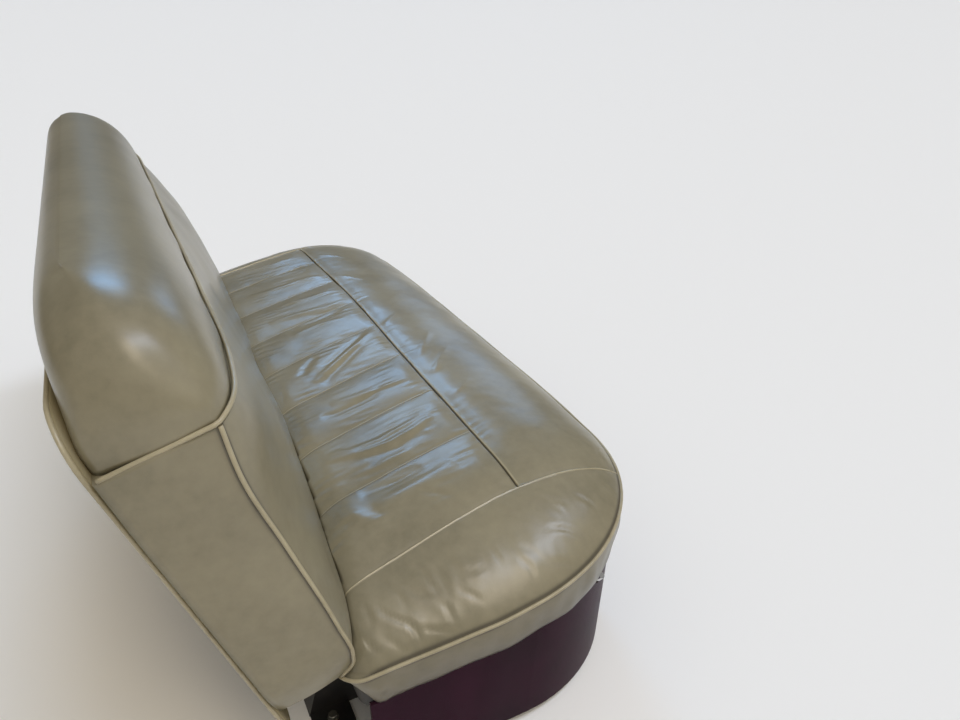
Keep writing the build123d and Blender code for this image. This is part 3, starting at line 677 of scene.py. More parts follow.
def cushion_cover():
    """The cushion's leather top and boxing, and its hessian underside, in panels that meet at the seams."""
    (rear_y, rear_x), (front_y, front_x) = cushion_grids(GRID)
    skin = Skin()
    # ripples draws anew for each panel, so along the seams their edges lie about half a millimetre apart
    for x, y in ((rear_x, rear_y), (front_x, front_y)):
        sewn, marks = cushion_top(x, y)
        # the front edge lies on the piping, and the rear one, under the backrest, about 4 mm above it
        sewn[edge_distances(x, y)[0] < 0.001 * MM, 2] = PIPING_LEVEL
        skin.panel(sewn, marks)
    seam_y = np.concatenate([front_y[::-1, 0], rear_y[1:, 0]])
    ends = {}
    for side in (-1, 1):
        x, y = end_grid(side, seam_y, END_COLUMNS)
        sewn, marks = cushion_top(x, y)
        # its outer edge and its tip lie on the piping
        sewn[:, -1, 2] = PIPING_LEVEL
        sewn[0, :, 2] = PIPING_LEVEL
        skin.panel(sewn, marks)
        ends[side] = np.stack([x[:, -1], y[:, -1]], -1)
    # the loop of the piping: front, left side, rear, right side
    front = np.stack([front_x[-1], front_y[-1]], -1)
    rear = np.stack([rear_x[-1], rear_y[-1]], -1)[::-1]
    ring = np.concatenate([front, ends[1][1:], rear[1:], ends[-1][::-1][1:-1]])
    boxing(skin, ring)
    skin.points = eased(skin.points)
    obj = skin.build("cushion_cover", CUSHION)
    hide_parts("cushion")
    spaced = np.hypot(*(ring - np.roll(ring, 1, axis=0)).T) > 0.06 * MM
    return obj, ring[spaced]


def outward(ring):
    """Unit normals of a closed plan outline, each from the points a few places before and after it."""
    places = 3
    ahead = np.roll(ring, -places, axis=0) - np.roll(ring, places, axis=0)
    normal = np.stack([ahead[:, 1], -ahead[:, 0]], -1)
    return normal / np.maximum(np.linalg.norm(normal, axis=1, keepdims=True), 1e-9)


def boxing(skin, ring):
    """The band below the piping, drawn up and gathered at its rear ends, and the hessian on the springs."""
    closed = joined(ring)
    normal = joined(outward(ring))
    # places down the band from its piping, and along it
    share = np.linspace(0, 1, 18)
    along = lengths_along(closed)
    # its lower edge is a little uneven, and lifted over the frame at its rear ends
    at_end = smoothstep(HALF - 90 * MM, HALF - 40 * MM, np.abs(closed[:, 0]))
    drawn_up = smoothstep(28 * MM, 64 * MM, closed[:, 1]) * at_end
    base = BASE_LEVEL + 38 * MM * drawn_up + 1.2 * MM * (1 + ripples(along, np.zeros_like(along), 80 * MM))
    drop = PIPING_LEVEL + share * (base - PIPING_LEVEL)[:, None]
    # it swells between its edges, leans in, and is gathered all round and puckered at the rear
    swell = 1.2 * MM * np.sin(pi * share) ** 0.8
    inset = (BASE_INSET + 8 * MM * drawn_up)[:, None] * share**1.3
    gathers = 1.5 * MM * ripples(along[:, None], drop * 0.35, 48 * MM)
    puckers = 2.2 * MM * ripples(along[:, None], drop * 0.25, 15 * MM)
    puckers = puckers * smoothstep(-40 * MM, 10 * MM, closed[:, 1])[:, None]
    from_join = smoothstep(0, 60 * MM, np.minimum(along, along[-1] - along))[:, None]
    offset = swell - inset + (gathers + puckers * share) * np.sin(pi * share * 0.9) * from_join
    x = closed[:, :1] + normal[:, :1] * offset
    y = closed[:, 1:] + normal[:, 1:] * offset
    # painted shade: a shadow line under the piping, and the whole band darkened, more towards its lower edge
    under_piping = 0.8 * hump(share * (PIPING_LEVEL - BASE_LEVEL) - 3.5 * MM, 3 * MM)
    dirt_and_shade = np.broadcast_to(np.maximum(0.22 + 0.4 * share**2, under_piping), x.shape)
    band = np.stack([x.T, y.T, drop.T], -1)
    skin.panel(band, {"dirt_and_shade": dirt_and_shade.T})
    # the hessian, in rings from the band's lower edge to near the middle
    edge = band[-1][:-1]
    middle = np.array([0, -200 * MM, BASE_LEVEL])
    rings = [edge * (1 - inwards) + middle * inwards for inwards in (0.0, 0.02, 0.3, 0.6, 0.85)]
    skin.panel(np.array([joined(r) for r in rings]), {"dirt_and_shade": np.full((len(rings), len(edge) + 1), 1.0)})
    skin.cap(rings[-1])


# Covers of the backrest


def ring_of(face_x, face_y, end_x, end_y, rear_x, rear_y, level):
    """A loop of points at one level: the face, the left end, the rear and the right end."""
    xs = np.concatenate([face_x, end_x, rear_x, -end_x[::-1]])
    ys = np.concatenate([face_y, end_y, np.full(len(rear_x), rear_y), end_y[::-1]])
    return np.stack([xs, ys, np.full(len(xs), level)], -1)


def back_loop(level, columns):
    """One level of the backrest: its face, its two ends and its rear."""
    half = float(smooth_through(BACK_ROWS[:, 0], BACK_ROWS[:, 1], np.array(level)))
    x = columns * half
    y = back_face(x, np.full_like(x, level)) + 0.9 * MM * ripples_back(x, level) * (1 - np.abs(columns) ** 8)
    # places from the front of an end to its rear, close together beside the piping
    side = np.concatenate([[0.012, 0.024, 0.036, 0.05], np.linspace(0, 1, 14)[1:-1]])
    end_x = half - END_TAPER * side + 3.0 * MM * np.sin(pi * side)
    end_y = y[-1] + side * (BACK_DEPTH - y[-1])
    rear_x = np.linspace(half - END_TAPER, -half + END_TAPER, 20)
    return ring_of(x, y, end_x, end_y, rear_x, BACK_DEPTH, level)


def backrest_cover():
    """The sprung part of the backrest, in one closed skin."""
    beside_piping = np.geomspace(0.002, 0.03, 6)
    columns = np.unique(np.concatenate([np.linspace(-1, 1, 241), -1 + beside_piping, 1 - beside_piping]))
    tucked = BACK_BOTTOM + (0 - BACK_BOTTOM) * np.linspace(0, 1, 20) ** 1.6
    levels = np.concatenate([tucked, np.linspace(0, BACK_TOP, 60)[1:]])
    loops = np.array([back_loop(level, columns) for level in levels])
    edge = loops[:, [0]]
    from_edge = np.hypot(np.abs(loops[..., 0]) - np.abs(edge[..., 0]), loops[..., 1] - edge[..., 1])
    # a painted shadow line about 3 mm from the face's edges, beside the side pipings
    obj = loft("backrest_cover", loops, BACK, 0.75 * hump(from_edge - 3 * MM, 2 * MM))
    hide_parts("backrest_pad")
    return obj


def roll_loop(share, columns):
    """One level of the top roll, share of the way from its piping to its crest."""
    knots = np.linspace(0, 1, len(ROLL_ROWS))
    row = [float(smooth_through(knots, column, np.array(share))) for column in ROLL_ROWS.T]
    level, half, edge, front, inset, rear = row
    x = columns * half
    y = front + (edge - front) * shoulder_turn(x, half, LONG_SHOULDER, np.full_like(x, 340 * MM))
    y = y + 0.8 * MM * ripples_back(x, level) * (1 - share)
    # an end runs back to a rounded corner at the rear
    corner = min((18 + 20 * share) * MM, 0.62 * (rear - y[-1]))
    turn = np.linspace(0, pi / 2, 9)
    side = np.linspace(0, 1, 12)[1:-1]
    corner_x = half - inset - corner * (1 - np.cos(turn))
    corner_y = rear - corner * (1 - np.sin(turn))
    end_x = np.concatenate([half - inset * side + 4 * MM * np.sin(pi * side), corner_x])
    end_y = np.concatenate([y[-1] + side * (rear - corner - y[-1]), corner_y])
    rear_x = np.linspace(corner_x[-1], -corner_x[-1], 60)[1:-1]
    return ring_of(x, y, end_x, end_y, rear_x, rear, level)


def softened(loops, passes, amount):
    """Loops of points, each point drawn towards its neighbours; amount is 0 to 1 for each loop."""
    grid = np.array(loops)
    amount = amount[:, None, None]
    for _ in range(passes):
        around = (np.roll(grid, 1, axis=1) + np.roll(grid, -1, axis=1)) / 2
        across = grid.copy()
        across[1:-1] = (grid[:-2] + grid[2:]) / 2
        grid += 0.5 * amount * ((around + across) / 2 - grid)
    return list(grid)


def top_roll_cover():
    """The roll along the top of the backrest."""
    columns = np.linspace(-1, 1, 181)
    loops = [roll_loop(share, columns) for share in np.linspace(0, 1, 40)]
    crest = loops[-1]
    middle_y = (crest[:, 1].min() + crest[:, 1].max()) / 2
    for depth, length, rise in ROLL_CREST:
        ring = crest.copy()
        ring[:, 1] = middle_y + (crest[:, 1] - middle_y) * depth
        ring[:, 0] = crest[:, 0] * length
        ring[:, 2] += rise * MM
        loops.append(ring)
    # the loops beside the piping stay as they are
    loops = softened(loops, 60, smoothstep(3, 14, np.arange(len(loops))))
    obj = loft("top_roll_cover", loops, BACK)
    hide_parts("backrest_top_roll")
    return obj


def stood_up(loop, y):
    """A loop of (x, z) points, stood up at y."""
    return np.stack([loop[:, 0], np.full(len(loop), y), loop[:, 1]], -1)


def rear_panel_cover():
    """The covered board at the rear of the backrest, softly padded, with rounded corners."""
    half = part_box("backrest_rear_panel")[1].x
    ring = []
    corners = ((1, PANEL_TOP, PANEL_TOP_CORNER), (-1, PANEL_TOP, PANEL_TOP_CORNER),
               (-1, PANEL_BOTTOM, -PANEL_BOTTOM_CORNER), (1, PANEL_BOTTOM, -PANEL_BOTTOM_CORNER))
    for quarter, (side, edge, inwards) in enumerate(corners):
        radius = abs(inwards)
        for angle in np.radians(90 * quarter + np.linspace(0, 90, 10)):
            ring.append((side * (half - radius) + radius * cos(angle), edge - inwards + radius * sin(angle)))
    ring = evenly(np.array(ring), 12 * MM)
    centre = np.array([0.0, (PANEL_BOTTOM + PANEL_TOP) / 2])
    loops = [stood_up(centre + (ring - centre) * size, PANEL_REAR + out * MM) for size, out in PANEL_LOOPS]
    obj = loft("rear_panel_cover", loops, BACK)
    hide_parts("backrest_rear_panel")
    return obj, stood_up(ring, PANEL_REAR - 2 * MM)


# Piping


def cushion_piping(ring):
    """The piping sewn round the cushion's top edge."""
    normal = outward(ring)
    line = evenly(eased(ring + normal * 0.4 * MM), 5 * MM)
    points = np.concatenate([line, np.full((len(line), 1), PIPING_LEVEL)], axis=1)
    points[:, 2] += 0.5 * MM * ripples(points[:, 0], points[:, 1], 120 * MM)
    return tube("cushion_piping", points, PIPING_RADIUS, CUSHION, wobble=0.02)


def backrest_pipings():
    """The piping down each end of the backrest, and the one below the top roll."""
    made = []
    below_top = TOP_PIPING_LEVEL - 4 * MM
    levels = np.concatenate([np.linspace(BACK_BOTTOM, 0, 16), np.linspace(0, below_top, 60)[1:]])
    half, edge = (smooth_through(BACK_ROWS[:, 0], BACK_ROWS[:, i], levels) for i in (1, 2))
    for side, name in ((-1, "right"), (1, "left")):
        points = np.stack([side * (half + 1 * MM), edge, levels], -1)
        made.append(tube(f"{name}_back_piping", points, PIPING_RADIUS, BACK, closed=False))
    # across the face, and back along both ends
    x = np.linspace(-TOP_PIPING_HALF, TOP_PIPING_HALF, 240)
    y = back_face(x, np.full_like(x, below_top)) - 1.5 * MM
    end_x = TOP_PIPING_HALF + 2 * MM - 8 * MM * np.linspace(0, 1, 19)
    end_y = np.linspace(y[-1], BACK_DEPTH - 4 * MM, 20)[1:]
    xs = np.concatenate([-end_x[::-1], x, end_x])
    ys = np.concatenate([end_y[::-1], y, end_y])
    points = np.stack([xs, ys, np.full(len(xs), TOP_PIPING_LEVEL)], -1)
    made.append(tube("top_piping", points, PIPING_RADIUS, BACK, closed=False))
    return made


# Fasteners and clips


def hexagon(angle):
    """The reach of a hexagon's edge at an angle, for a corner reach of 1."""
    return cos(pi / 6) / cos((angle % (pi / 3)) - pi / 6)


def add_turned(skin, place, rings, sides=24):
    """Adds a fastener. Columns of rings: corner reach and height in mm, and whether the ring is six-sided."""
    grid = []
    for reach, height, six_sided in rings:
        ring = []
        for angle in [2 * pi * i / sides for i in range(sides + 1)]:
            r = reach * MM * (hexagon(angle) if six_sided else 1.0)
            ring.append(tuple(place @ Vector((r * cos(angle), r * sin(angle), height * MM))))
        grid.append(ring)
    skin.panel(np.array(grid))
    skin.cap(grid[0][:-1])
    skin.cap(grid[-1][:-1])


def add_bolt(skin, place, across, washer):
    """A plain washer and a hexagon head with its chamfered crown, sizes in mm."""
    thick = 1.6
    add_turned(skin, place, [(washer, 0, False), (washer, thick - 0.3, False), (washer - 0.3, thick, False)])
    corner = across / 2 / cos(pi / 6)
    head = [(corner, thick, True), (corner, thick + 0.45 * across, True)]
    add_turned(skin, place, head + [(0.475 * across, thick + 0.52 * across, False)])


def add_rivet(skin, place, reach):
    """The round head of a rivet."""
    turns = np.radians([0, 20, 40, 60, 78])
    add_turned(skin, place, [(reach * cos(t), 0.62 * reach * sin(t), False) for t in turns], sides=16)


def hard_edged(obj):
    """Smooth shading on round faces, with edges kept sharp."""
    obj.data.set_sharp_from_angle(angle=radians(35))
    return obj


def floor_bolts():
    """The four bolts that hold the risers down, each turned as it was left."""
    skin = Skin()
    for x in (-FLOOR_BOLT_X, FLOOR_BOLT_X):
        for y in (-FLOOR_BOLT_Y, FLOOR_BOLT_Y):
            spin = Matrix.Rotation(random_draws.uniform(0, pi / 3), 4, "Z")
            place = Matrix.Translation(Vector((x, y, FOOT_TOP)) * MM) @ spin
            add_bolt(skin, place, BOLT_ACROSS, WASHER_REACH)
    return hard_edged(skin.build("floor_bolts", Matrix.Identity(4)))


def frame_rivets():
    """The rivets of the frame: at the ends of its inner rails, and through the feet of the back brackets."""
    skin = Skin()
    middle_front, middle_rear = sum(FRONT_RAIL_Y) / 2, sum(REAR_RAIL_Y) / 2
    # pairs at both ends of the centre rail and at the rear end of each track rail
    ends = ((-TRACK_X, middle_rear), (0, middle_front), (0, middle_rear), (TRACK_X, middle_rear))
    for x, y in [(x + dx, y) for x, y in ends for dx in (-7, 7)]:
        # the head sits inside the channel, under its top
        place = Vector((x, y, RAIL_TOP - 2.5)) * MM
        add_rivet(skin, Matrix.Translation(place) @ Matrix.Rotation(pi, 4, "X"), 4)
    for x in BACK_BRACKET_X:
        for dx in (-15, 15):
            place = Vector((x + dx, REAR_RAIL_Y[1] + 4.0, RAIL_BOTTOM + 31)) * MM
            add_rivet(skin, Matrix.Translation(place) @ Matrix.Rotation(-pi / 2, 4, "X"), 4.5)
    return hard_edged(skin.build("frame_rivets", CUSHION))


def add_strip(skin, line, low_x, high_x, thickness):
    """Adds a bent strip of sheet: a line of (y, z) in mm, given a thickness, between two x."""
    line = np.array(line, float)
    ahead = np.gradient(line, axis=0)
    normal = np.stack([-ahead[:, 1], ahead[:, 0]], -1)
    normal /= np.linalg.norm(normal, axis=1, keepdims=True)
    other = line + normal * thickness
    loop = joined(np.concatenate([line, other[::-1]]))
    skin.panel(np.array([[(x, y, z) for y, z in loop] for x in (low_x, high_x)]) * MM)
    for x in (low_x, high_x):
        for i in range(len(line) - 1):
            skin.cap(np.array([(x, *line[i]), (x, *line[i + 1]), (x, *other[i + 1]), (x, *other[i])]) * MM)


def spring_clips():
    """A bent clip on the rails at both ends of each spring, curled over its wire and held by two rivets."""
    skin = Skin()
    half_width, thickness = 8, 1.0
    # up the rail's wall, then a curl whose middle is 5 mm out from it, on the wire. Columns: y and z in mm
    turns = np.radians(np.linspace(-90, 110, 9))
    hook = [(5.0 + 2.9 * cos(t), 2.9 * sin(t)) for t in turns]
    line = [(0.4, -20.0), (0.4, -6.0), (1.6, -3.6)] + hook
    for side in (-1, 1):
        for x in SPRING_X:
            for wall, inward in ((FRONT_RAIL_Y[1], 1), (REAR_RAIL_Y[0], -1)):
                places = [(wall + inward * y, SPRING_LEVEL + z) for y, z in line]
                add_strip(skin, places, side * x - half_width, side * x + half_width, thickness * inward)
                for dx in (-4.5, 4.5):
                    head = Vector((side * x + dx, wall + inward * 1.4, SPRING_LEVEL - 14)) * MM
                    turn = Matrix.Rotation(-inward * pi / 2, 4, "X")
                    add_rivet(skin, Matrix.Translation(head) @ turn, 2.6)
    return hard_edged(skin.build("spring_clips", CUSHION))


def mark_underside(obj, material):
    """Gives the faces that lie on the springs their own cloth."""
    obj.data.materials.append(material)
    into_cushion = CUSHION.inverted()
    down = CUSHION.to_3x3() @ Vector((0, 0, -1))
    for face in obj.data.polygons:
        if face.normal.dot(down) > 0.9 and (into_cushion @ face.center).z < PIPING_LEVEL:
            face.material_index = 1


# Materials


def linear(hex_colour):
    """An sRGB hex colour as linear RGBA."""
    parts = [int(hex_colour[i:i + 2], 16) / 255 for i in (1, 3, 5)]
    return tuple(p / 12.92 if p <= 0.04045 else ((p + 0.055) / 1.055) ** 2.4 for p in parts) + (1.0,)


def new_material(name):
    """An empty node material, and its node tree."""
    material = bpy.data.materials.new(name)
    material.use_nodes = True
    material.node_tree.nodes.clear()
    return material, material.node_tree


def add(tree, kind, inputs=None, **settings):
    """Adds a node with its settings, and sets or links its inputs."""
    node = tree.nodes.new(kind)
    for name, value in settings.items():
        setattr(node, name, value)
    for name, value in (inputs or {}).items():
        if isinstance(value, bpy.types.NodeSocket):
            tree.links.new(value, node.inputs[name])
        else:
            node.inputs[name].default_value = value
    return node


def ramp(tree, factor, *stops):
    """A colour ramp between (place, hex colour) stops."""
    node = add(tree, "ShaderNodeValToRGB", {"Fac": factor})
    elements = node.color_ramp.elements
    while len(elements) < len(stops):
        elements.new(0.5)
    for element, (place, colour) in zip(elements, stops):
        element.position = place
        element.color = linear(colour)
    return node.outputs["Color"]


def per_metre(size_mm):
    """The scale of a pattern whose features are this many millimetres apart."""
    return 1000.0 / size_mm


def worn_hide(name, light, middle, dark, dirt_and_shade_colour, seam_wear_and_highlight):
    """Finished cow hide, drum dyed and lacquered, seventy years old: a soft even gloss on a pebbled grain,
    the colour rubbed uneven, darkened where marked with dirt and painted shade, and the seams' ridges painted
    paler, partly as rubbed wear and partly as a painted highlight."""
    material, tree = new_material(name)
    place = add(tree, "ShaderNodeTexCoord").outputs["Object"]
    patches = add(tree, "ShaderNodeTexNoise",
                  {"Vector": place, "Scale": per_metre(170), "Detail": 4.0, "Roughness": 0.55}).outputs["Fac"]
    mottle = add(tree, "ShaderNodeTexNoise",
                 {"Vector": place, "Scale": per_metre(16), "Detail": 4.0, "Roughness": 0.6}).outputs["Fac"]
    both = add(tree, "ShaderNodeMix", {0: 0.3, 2: patches, 3: mottle}, data_type="FLOAT").outputs[0]
    colour = ramp(tree, both, (0.3, dark), (0.5, middle), (0.7, light))
    # one mark darkens the colour with dirt and painted shade, the other pales the seams' ridges, partly as
    # wear and partly as a painted highlight
    for mark, towards in (("dirt_and_shade", dirt_and_shade_colour), ("seam", seam_wear_and_highlight)):
        amount = add(tree, "ShaderNodeAttribute", attribute_name=mark).outputs["Fac"]
        colour = add(tree, "ShaderNodeMix", {0: amount, 6: colour, 7: linear(towards)},
                     data_type="RGBA").outputs[2]
    relief = add(tree, "ShaderNodeTexNoise",
                 {"Vector": place, "Scale": per_metre(26), "Detail": 6.0, "Roughness": 0.6}).outputs["Fac"]
    uneven = add(tree, "ShaderNodeBump", {"Height": relief, "Strength": 0.14, "Distance": 0.3 * MM})
    # the grain's pebbles are about twice as coarse as real, so that they show
    pebbles = add(tree, "ShaderNodeTexVoronoi",
                  {"Vector": place, "Scale": per_metre(1.7)}).outputs["Distance"]
    grain = add(tree, "ShaderNodeBump", {"Height": pebbles, "Strength": 0.22, "Distance": 0.12 * MM,
                                         "Normal": uneven.outputs[0]})
    shader = add(tree, "ShaderNodeBsdfPrincipled",
                 {"Base Color": colour, "Roughness": 0.3, "IOR": 1.5, "Normal": grain.outputs[0]})
    add(tree, "ShaderNodeOutputMaterial", {"Surface": shader.outputs[0]})
    return material


def leathercloth(name, light, dark):
    """Cotton cloth coated and embossed with a leather grain: even colour, soft plastic sheen."""
    material, tree = new_material(name)
    place = add(tree, "ShaderNodeTexCoord").outputs["Object"]
    patches = add(tree, "ShaderNodeTexNoise",
                  {"Vector": place, "Scale": per_metre(90), "Detail": 6.0}).outputs["Fac"]
    colour = ramp(tree, patches, (0.3, dark), (0.7, light))
    pebbles = add(tree, "ShaderNodeTexVoronoi",
                  {"Vector": place, "Scale": per_metre(1.1)}).outputs["Distance"]
    grain = add(tree, "ShaderNodeBump", {"Height": pebbles, "Strength": 0.5, "Distance": 0.25 * MM})
    shader = add(tree, "ShaderNodeBsdfPrincipled",
                 {"Base Color": colour, "Roughness": 0.4, "IOR": 1.5, "Specular IOR Level": 0.08,
                  "Normal": grain.outputs[0]})
    add(tree, "ShaderNodeOutputMaterial", {"Surface": shader.outputs[0]})
    return material


def hessian(name):
    """Jute sacking, plain woven in coarse uneven threads: brown, dull and hairy."""
    material, tree = new_material(name)
    place = add(tree, "ShaderNodeTexCoord").outputs["Object"]
    slubs = add(tree, "ShaderNodeTexNoise",
                {"Vector": place, "Scale": per_metre(8), "Detail": 5.0}).outputs["Fac"]
    # a wave node has about three bands a unit, so the threads are 15 mm apart, seven times as coarse as real
    threads = []
    for direction in ("X", "Y"):
        wave = add(tree, "ShaderNodeTexWave",
                   {"Vector": place, "Scale": per_metre(48), "Distortion": 1.2, "Detail": 2.0,
                    "Detail Scale": 3.0}, bands_direction=direction)
        threads.append(wave.outputs["Fac"])
    weave = add(tree, "ShaderNodeMath", {0: threads[0], 1: threads[1]}, operation="MAXIMUM").outputs[0]
    both = add(tree, "ShaderNodeMath", {0: weave, 1: slubs}, operation="MULTIPLY").outputs[0]
    colour = ramp(tree, both, (0.1, "#4B3A26"), (0.4, "#7D6544"), (0.75, "#99825E"))
    relief = add(tree, "ShaderNodeBump", {"Height": weave, "Strength": 0.6, "Distance": 0.6 * MM})
    shader = add(tree, "ShaderNodeBsdfPrincipled",
                 {"Base Color": colour, "Roughness": 0.95, "Normal": relief.outputs[0]})
    add(tree, "ShaderNodeOutputMaterial", {"Surface": shader.outputs[0]})
    return material


def stoved_enamel(name):
    """Black enamel dipped and baked on pressed steel: a dull gloss, with dust on it."""
    material, tree = new_material(name)
    place = add(tree, "ShaderNodeTexCoord").outputs["Object"]
    dust = add(tree, "ShaderNodeTexNoise",
               {"Vector": place, "Scale": per_metre(45), "Detail": 8.0}).outputs["Fac"]
    colour = ramp(tree, dust, (0.4, "#141415"), (0.75, "#2B2825"))
    shader = add(tree, "ShaderNodeBsdfPrincipled", {"Base Color": colour, "Roughness": 0.42, "IOR": 1.5})
    add(tree, "ShaderNodeOutputMaterial", {"Surface": shader.outputs[0]})
    return material


def bare_steel(name, light, dark, roughness):
    """Steel as rolled or drawn, under a film of old grease: grey, cloudy and half bright."""
    material, tree = new_material(name)
    place = add(tree, "ShaderNodeTexCoord").outputs["Object"]
    film = add(tree, "ShaderNodeTexNoise",
               {"Vector": place, "Scale": per_metre(30), "Detail": 8.0}).outputs["Fac"]
    colour = ramp(tree, film, (0.35, dark), (0.65, light))
    shader = add(tree, "ShaderNodeBsdfPrincipled",
                 {"Base Color": colour, "Roughness": roughness, "Metallic": 1.0})
    add(tree, "ShaderNodeOutputMaterial", {"Surface": shader.outputs[0]})
    return material


def chrome_plate(name):
    """Polished chromium over nickel: a mirror, with a faint haze of age."""
    material, tree = new_material(name)
    place = add(tree, "ShaderNodeTexCoord").outputs["Object"]
    haze = add(tree, "ShaderNodeTexNoise",
               {"Vector": place, "Scale": per_metre(6), "Detail": 6.0}).outputs["Fac"]
    rough = add(tree, "ShaderNodeMapRange", {"Value": haze, "To Min": 0.06, "To Max": 0.2}).outputs[0]
    shader = add(tree, "ShaderNodeBsdfPrincipled",
                 {"Base Color": linear("#D8DADC"), "Roughness": rough, "Metallic": 1.0})
    add(tree, "ShaderNodeOutputMaterial", {"Surface": shader.outputs[0]})
    return material


def dress(obj, material, body=SEAT):
    """Gives a new piece its finish and the body that it rides on."""
    obj.data.materials.clear()
    obj.data.materials.append(material)
    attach(obj, body)
    return obj


def finish_node(node, material, edge):
    """Gives a CAD node its finish, and its cut edges a small round of edge mm."""
    obj = frame["nodes"][node]
    if edge:
        bevel = obj.modifiers.new("rounded_edges", "BEVEL")
        bevel.width = edge * MM
        bevel.segments = 2
        bevel.limit_method = "ANGLE"
        bevel.angle_limit = radians(50)
        bevel.harden_normals = True
    obj.data.materials.clear()
    obj.data.materials.append(material)
    for face in obj.data.polygons:
        face.material_index = 0


# Studio

FLOOR_PAINT = "#F6F4EF"
BACKGROUND = "#E4E5E5"
DOME_COLOUR = "#ECE8E2"

# How bright the dome is on the seat's right and on its left, and how far its horizon and its crown alter that
DOME_RIGHT = 0.66
DOME_LEFT = 0.2
HORIZON = 0.27
OVERHEAD = 1.62

# Soft windows in the dome, in the cushion's frame. Columns: direction, long side, its length and the short
# side's length as tangents, width of the soft edge, colour, strength
WINDOWS = [
    ((0.815, -0.25, 0.525), (0, 1, 0), 0.1, 0.03, 0.13, "#8CC6FF", 12.0),
    ((0.775, -0.59, 0.21), (0, 1, 0), 0.1, 0.06, 0.14, "#A0CCFF", 3.2),
    ((-0.27, -0.5, 0.81), (0.43, -0.52, -0.24), 0.5, 0.03, 0.13, "#D8E6FF", 12.0),
    ((-0.56, -0.18, 0.81), (0.83, 0, 0.56), 0.34, 0.14, 0.14, "#FFEFD6", 6.0),
]


def plain_floor():
    """A pale plain floor, well past the edges of the view."""
    bpy.ops.mesh.primitive_plane_add(size=600)
    floor = bpy.context.object
    floor.name = "floor"
    material, tree = new_material("floor_paint")
    shader = add(tree, "ShaderNodeBsdfPrincipled", {"Base Color": linear(FLOOR_PAINT), "Roughness": 0.9})
    add(tree, "ShaderNodeOutputMaterial", {"Surface": shader.outputs[0]})
    floor.data.materials.append(material)


def camera():
    """The camera, where the photograph was taken from."""
    eye = link_object("camera", bpy.data.cameras.new("camera"))
    eye.location = (-1.3497, 0.33835, 0.97934)
    eye.rotation_euler = (radians(63.357), radians(-0.149), radians(-117.077))
    eye.data.lens = 27.4
    eye.data.sensor_width = 36.0
    eye.data.clip_start = 20 * MM
    bpy.context.scene.camera = eye


def window(tree, ray, direction, long_side, length, width, soften):
    """1 in a soft-edged rectangle of the dome, and 0 outside it."""
    turn = CUSHION.to_3x3()
    facing = (turn @ Vector(direction)).normalized()
    long = turn @ Vector(long_side)
    long = (long - long.dot(facing) * facing).normalized()
    ahead = add(tree, "ShaderNodeVectorMath", {0: ray, 1: facing}, operation="DOT_PRODUCT").outputs["Value"]
    # nothing behind the window's own half of the dome
    mask = add(tree, "ShaderNodeMath", {0: ahead, 1: 0.05}, operation="GREATER_THAN").outputs[0]
    for axis, reach in ((long, length / 2), (long.cross(facing), width / 2)):
        aside = add(tree, "ShaderNodeVectorMath", {0: ray, 1: axis}, operation="DOT_PRODUCT").outputs["Value"]
        slope = add(tree, "ShaderNodeMath", {0: aside, 1: ahead}, operation="DIVIDE").outputs[0]
        away = add(tree, "ShaderNodeMath", {0: slope}, operation="ABSOLUTE").outputs[0]
        inside = add(tree, "ShaderNodeMapRange",
                     {"Value": away, "From Min": reach + soften, "From Max": reach},
                     interpolation_type="SMOOTHSTEP").outputs[0]
        mask = add(tree, "ShaderNodeMath", {0: mask, 1: inside}, operation="MULTIPLY").outputs[0]
    return mask


def dome_light(tree):
    """The colour of the dome for each direction: pale, graded, with the windows in it."""
    ray = add(tree, "ShaderNodeTexCoord").outputs["Generated"]
    axes = add(tree, "ShaderNodeSeparateXYZ", {0: ray})
    # brightest on the seat's right side, and dimming evenly towards its left
    level = add(tree, "ShaderNodeMapRange", {"Value": axes.outputs["X"], "From Min": -1.0, "From Max": 1.0,
                                             "To Min": DOME_RIGHT, "To Max": DOME_LEFT}).outputs[0]
    # brightest overhead and straight below, and dim at the horizon
    height = add(tree, "ShaderNodeMath", {0: axes.outputs["Z"]}, operation="ABSOLUTE").outputs[0]
    overhead = add(tree, "ShaderNodeMapRange",
                   {"Value": height, "To Min": HORIZON, "To Max": OVERHEAD}).outputs[0]
    level = add(tree, "ShaderNodeMath", {0: level, 1: overhead}, operation="MULTIPLY").outputs[0]
    total = add(tree, "ShaderNodeVectorMath", {0: linear(DOME_COLOUR)[:3], "Scale": level},
                operation="SCALE").outputs[0]
    for *place, colour, strength in WINDOWS:
        mask = window(tree, ray, *place)
        amount = add(tree, "ShaderNodeMath", {0: mask, 1: strength}, operation="MULTIPLY").outputs[0]
        tint = add(tree, "ShaderNodeVectorMath", {0: linear(colour)[:3], "Scale": amount},
                   operation="SCALE").outputs[0]
        total = add(tree, "ShaderNodeVectorMath", {0: total, 1: tint}, operation="ADD").outputs[0]
    return total


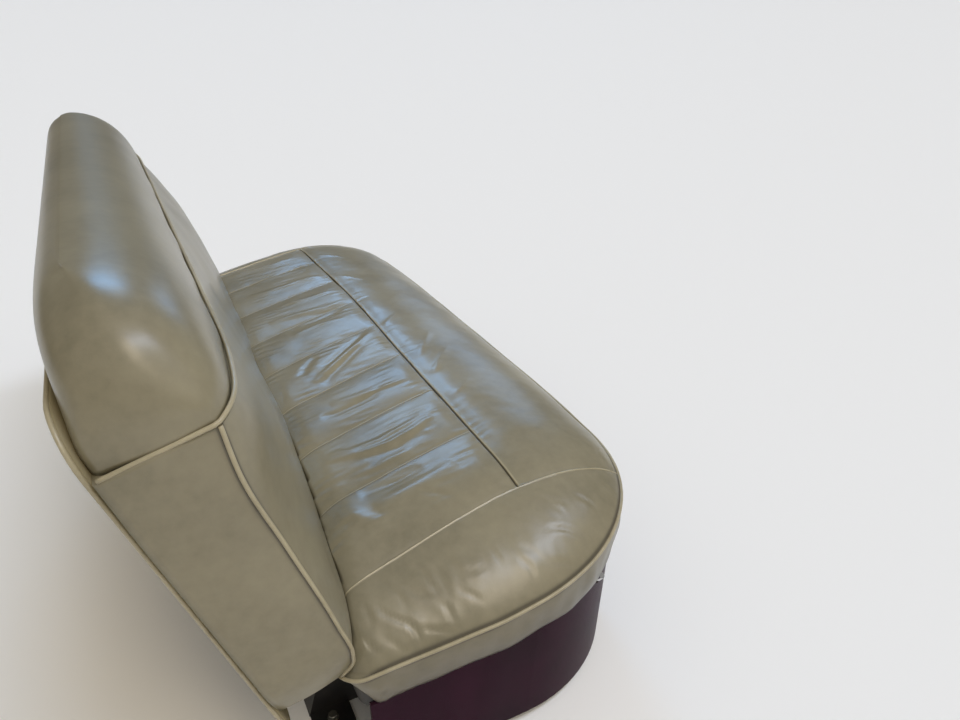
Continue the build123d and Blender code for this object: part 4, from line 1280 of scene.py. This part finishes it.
def surroundings():
    """The world: a dome that lights the seat and shines in its leather, behind a plain background."""
    world = bpy.data.worlds.new("surroundings")
    world.use_nodes = True
    tree = world.node_tree
    tree.nodes.clear()
    dome = add(tree, "ShaderNodeBackground", {"Color": dome_light(tree), "Strength": 1.0})
    seen = add(tree, "ShaderNodeBackground", {"Color": linear(BACKGROUND), "Strength": 1.0})
    rays = add(tree, "ShaderNodeLightPath").outputs
    direct = add(tree, "ShaderNodeMath", {0: rays["Is Camera Ray"], 1: rays["Is Transmission Ray"]},
                 operation="MAXIMUM").outputs[0]
    shader = add(tree, "ShaderNodeMixShader", {0: direct, 1: dome.outputs[0], 2: seen.outputs[0]})
    add(tree, "ShaderNodeOutputWorld", {"Surface": shader.outputs[0]})
    world.cycles.sampling_method = "MANUAL"
    world.cycles.sample_map_resolution = 1024
    bpy.context.scene.world = world
    bpy.context.scene.view_settings.view_transform = "Standard"


def main():
    """Makes every piece, its finish and the studio."""
    # the last two colours of each hide: dark for dirt and painted shade, pale for worn seams and a painted
    # highlight
    hide = worn_hide("worn_hide", "#938B71", "#888068", "#777059", "#2C2620", "#BBB08F")
    piping_hide = worn_hide("piping_hide", "#B7AC8D", "#A89D80", "#92876A", "#40372B", "#B7AC8D")
    maroon = leathercloth("maroon_leathercloth", "#300D22", "#240A1A")
    tan_cloth = leathercloth("tan_leathercloth", "#8E8365", "#857A5E")
    enamel = stoved_enamel("stoved_enamel")
    track_steel = bare_steel("track_steel", "#8E8A82", "#5E5A53", 0.38)
    spring_steel = bare_steel("spring_steel", "#5B554E", "#38332E", 0.45)
    zinc = bare_steel("zinc_plated_steel", "#A9A79E", "#7C786D", 0.42)
    chrome = chrome_plate("chrome_plate")

    cover, ring = cushion_cover()
    dress(cover, hide)
    mark_underside(cover, hessian("hessian"))
    dress(cushion_piping(ring), piping_hide)
    back = dress(backrest_cover(), hide)
    roll = dress(top_roll_cover(), hide)
    panel, welt = rear_panel_cover()
    dress(panel, tan_cloth)
    dress(tube("rear_panel_welt", welt, PIPING_RADIUS, BACK), piping_hide)
    for obj in backrest_pipings():
        dress(obj, piping_hide)
    dress(floor_bolts(), zinc, TRACKS)
    dress(frame_rivets(), enamel)
    dress(spring_clips(), spring_steel)

    finishes = {"tan_leather": hide, "maroon_vinyl": maroon, "black_enamel": enamel,
                "greased_steel": track_steel, "spring_wire": spring_steel, "chromed_steel": chrome}
    for part in frame["record"]["subparts"]:
        slot = part["material_slot"]
        finish_node(part["node"], finishes[slot], ROUNDED_EDGES.get(slot))
    plain_floor()
    camera()
    surroundings()


main()
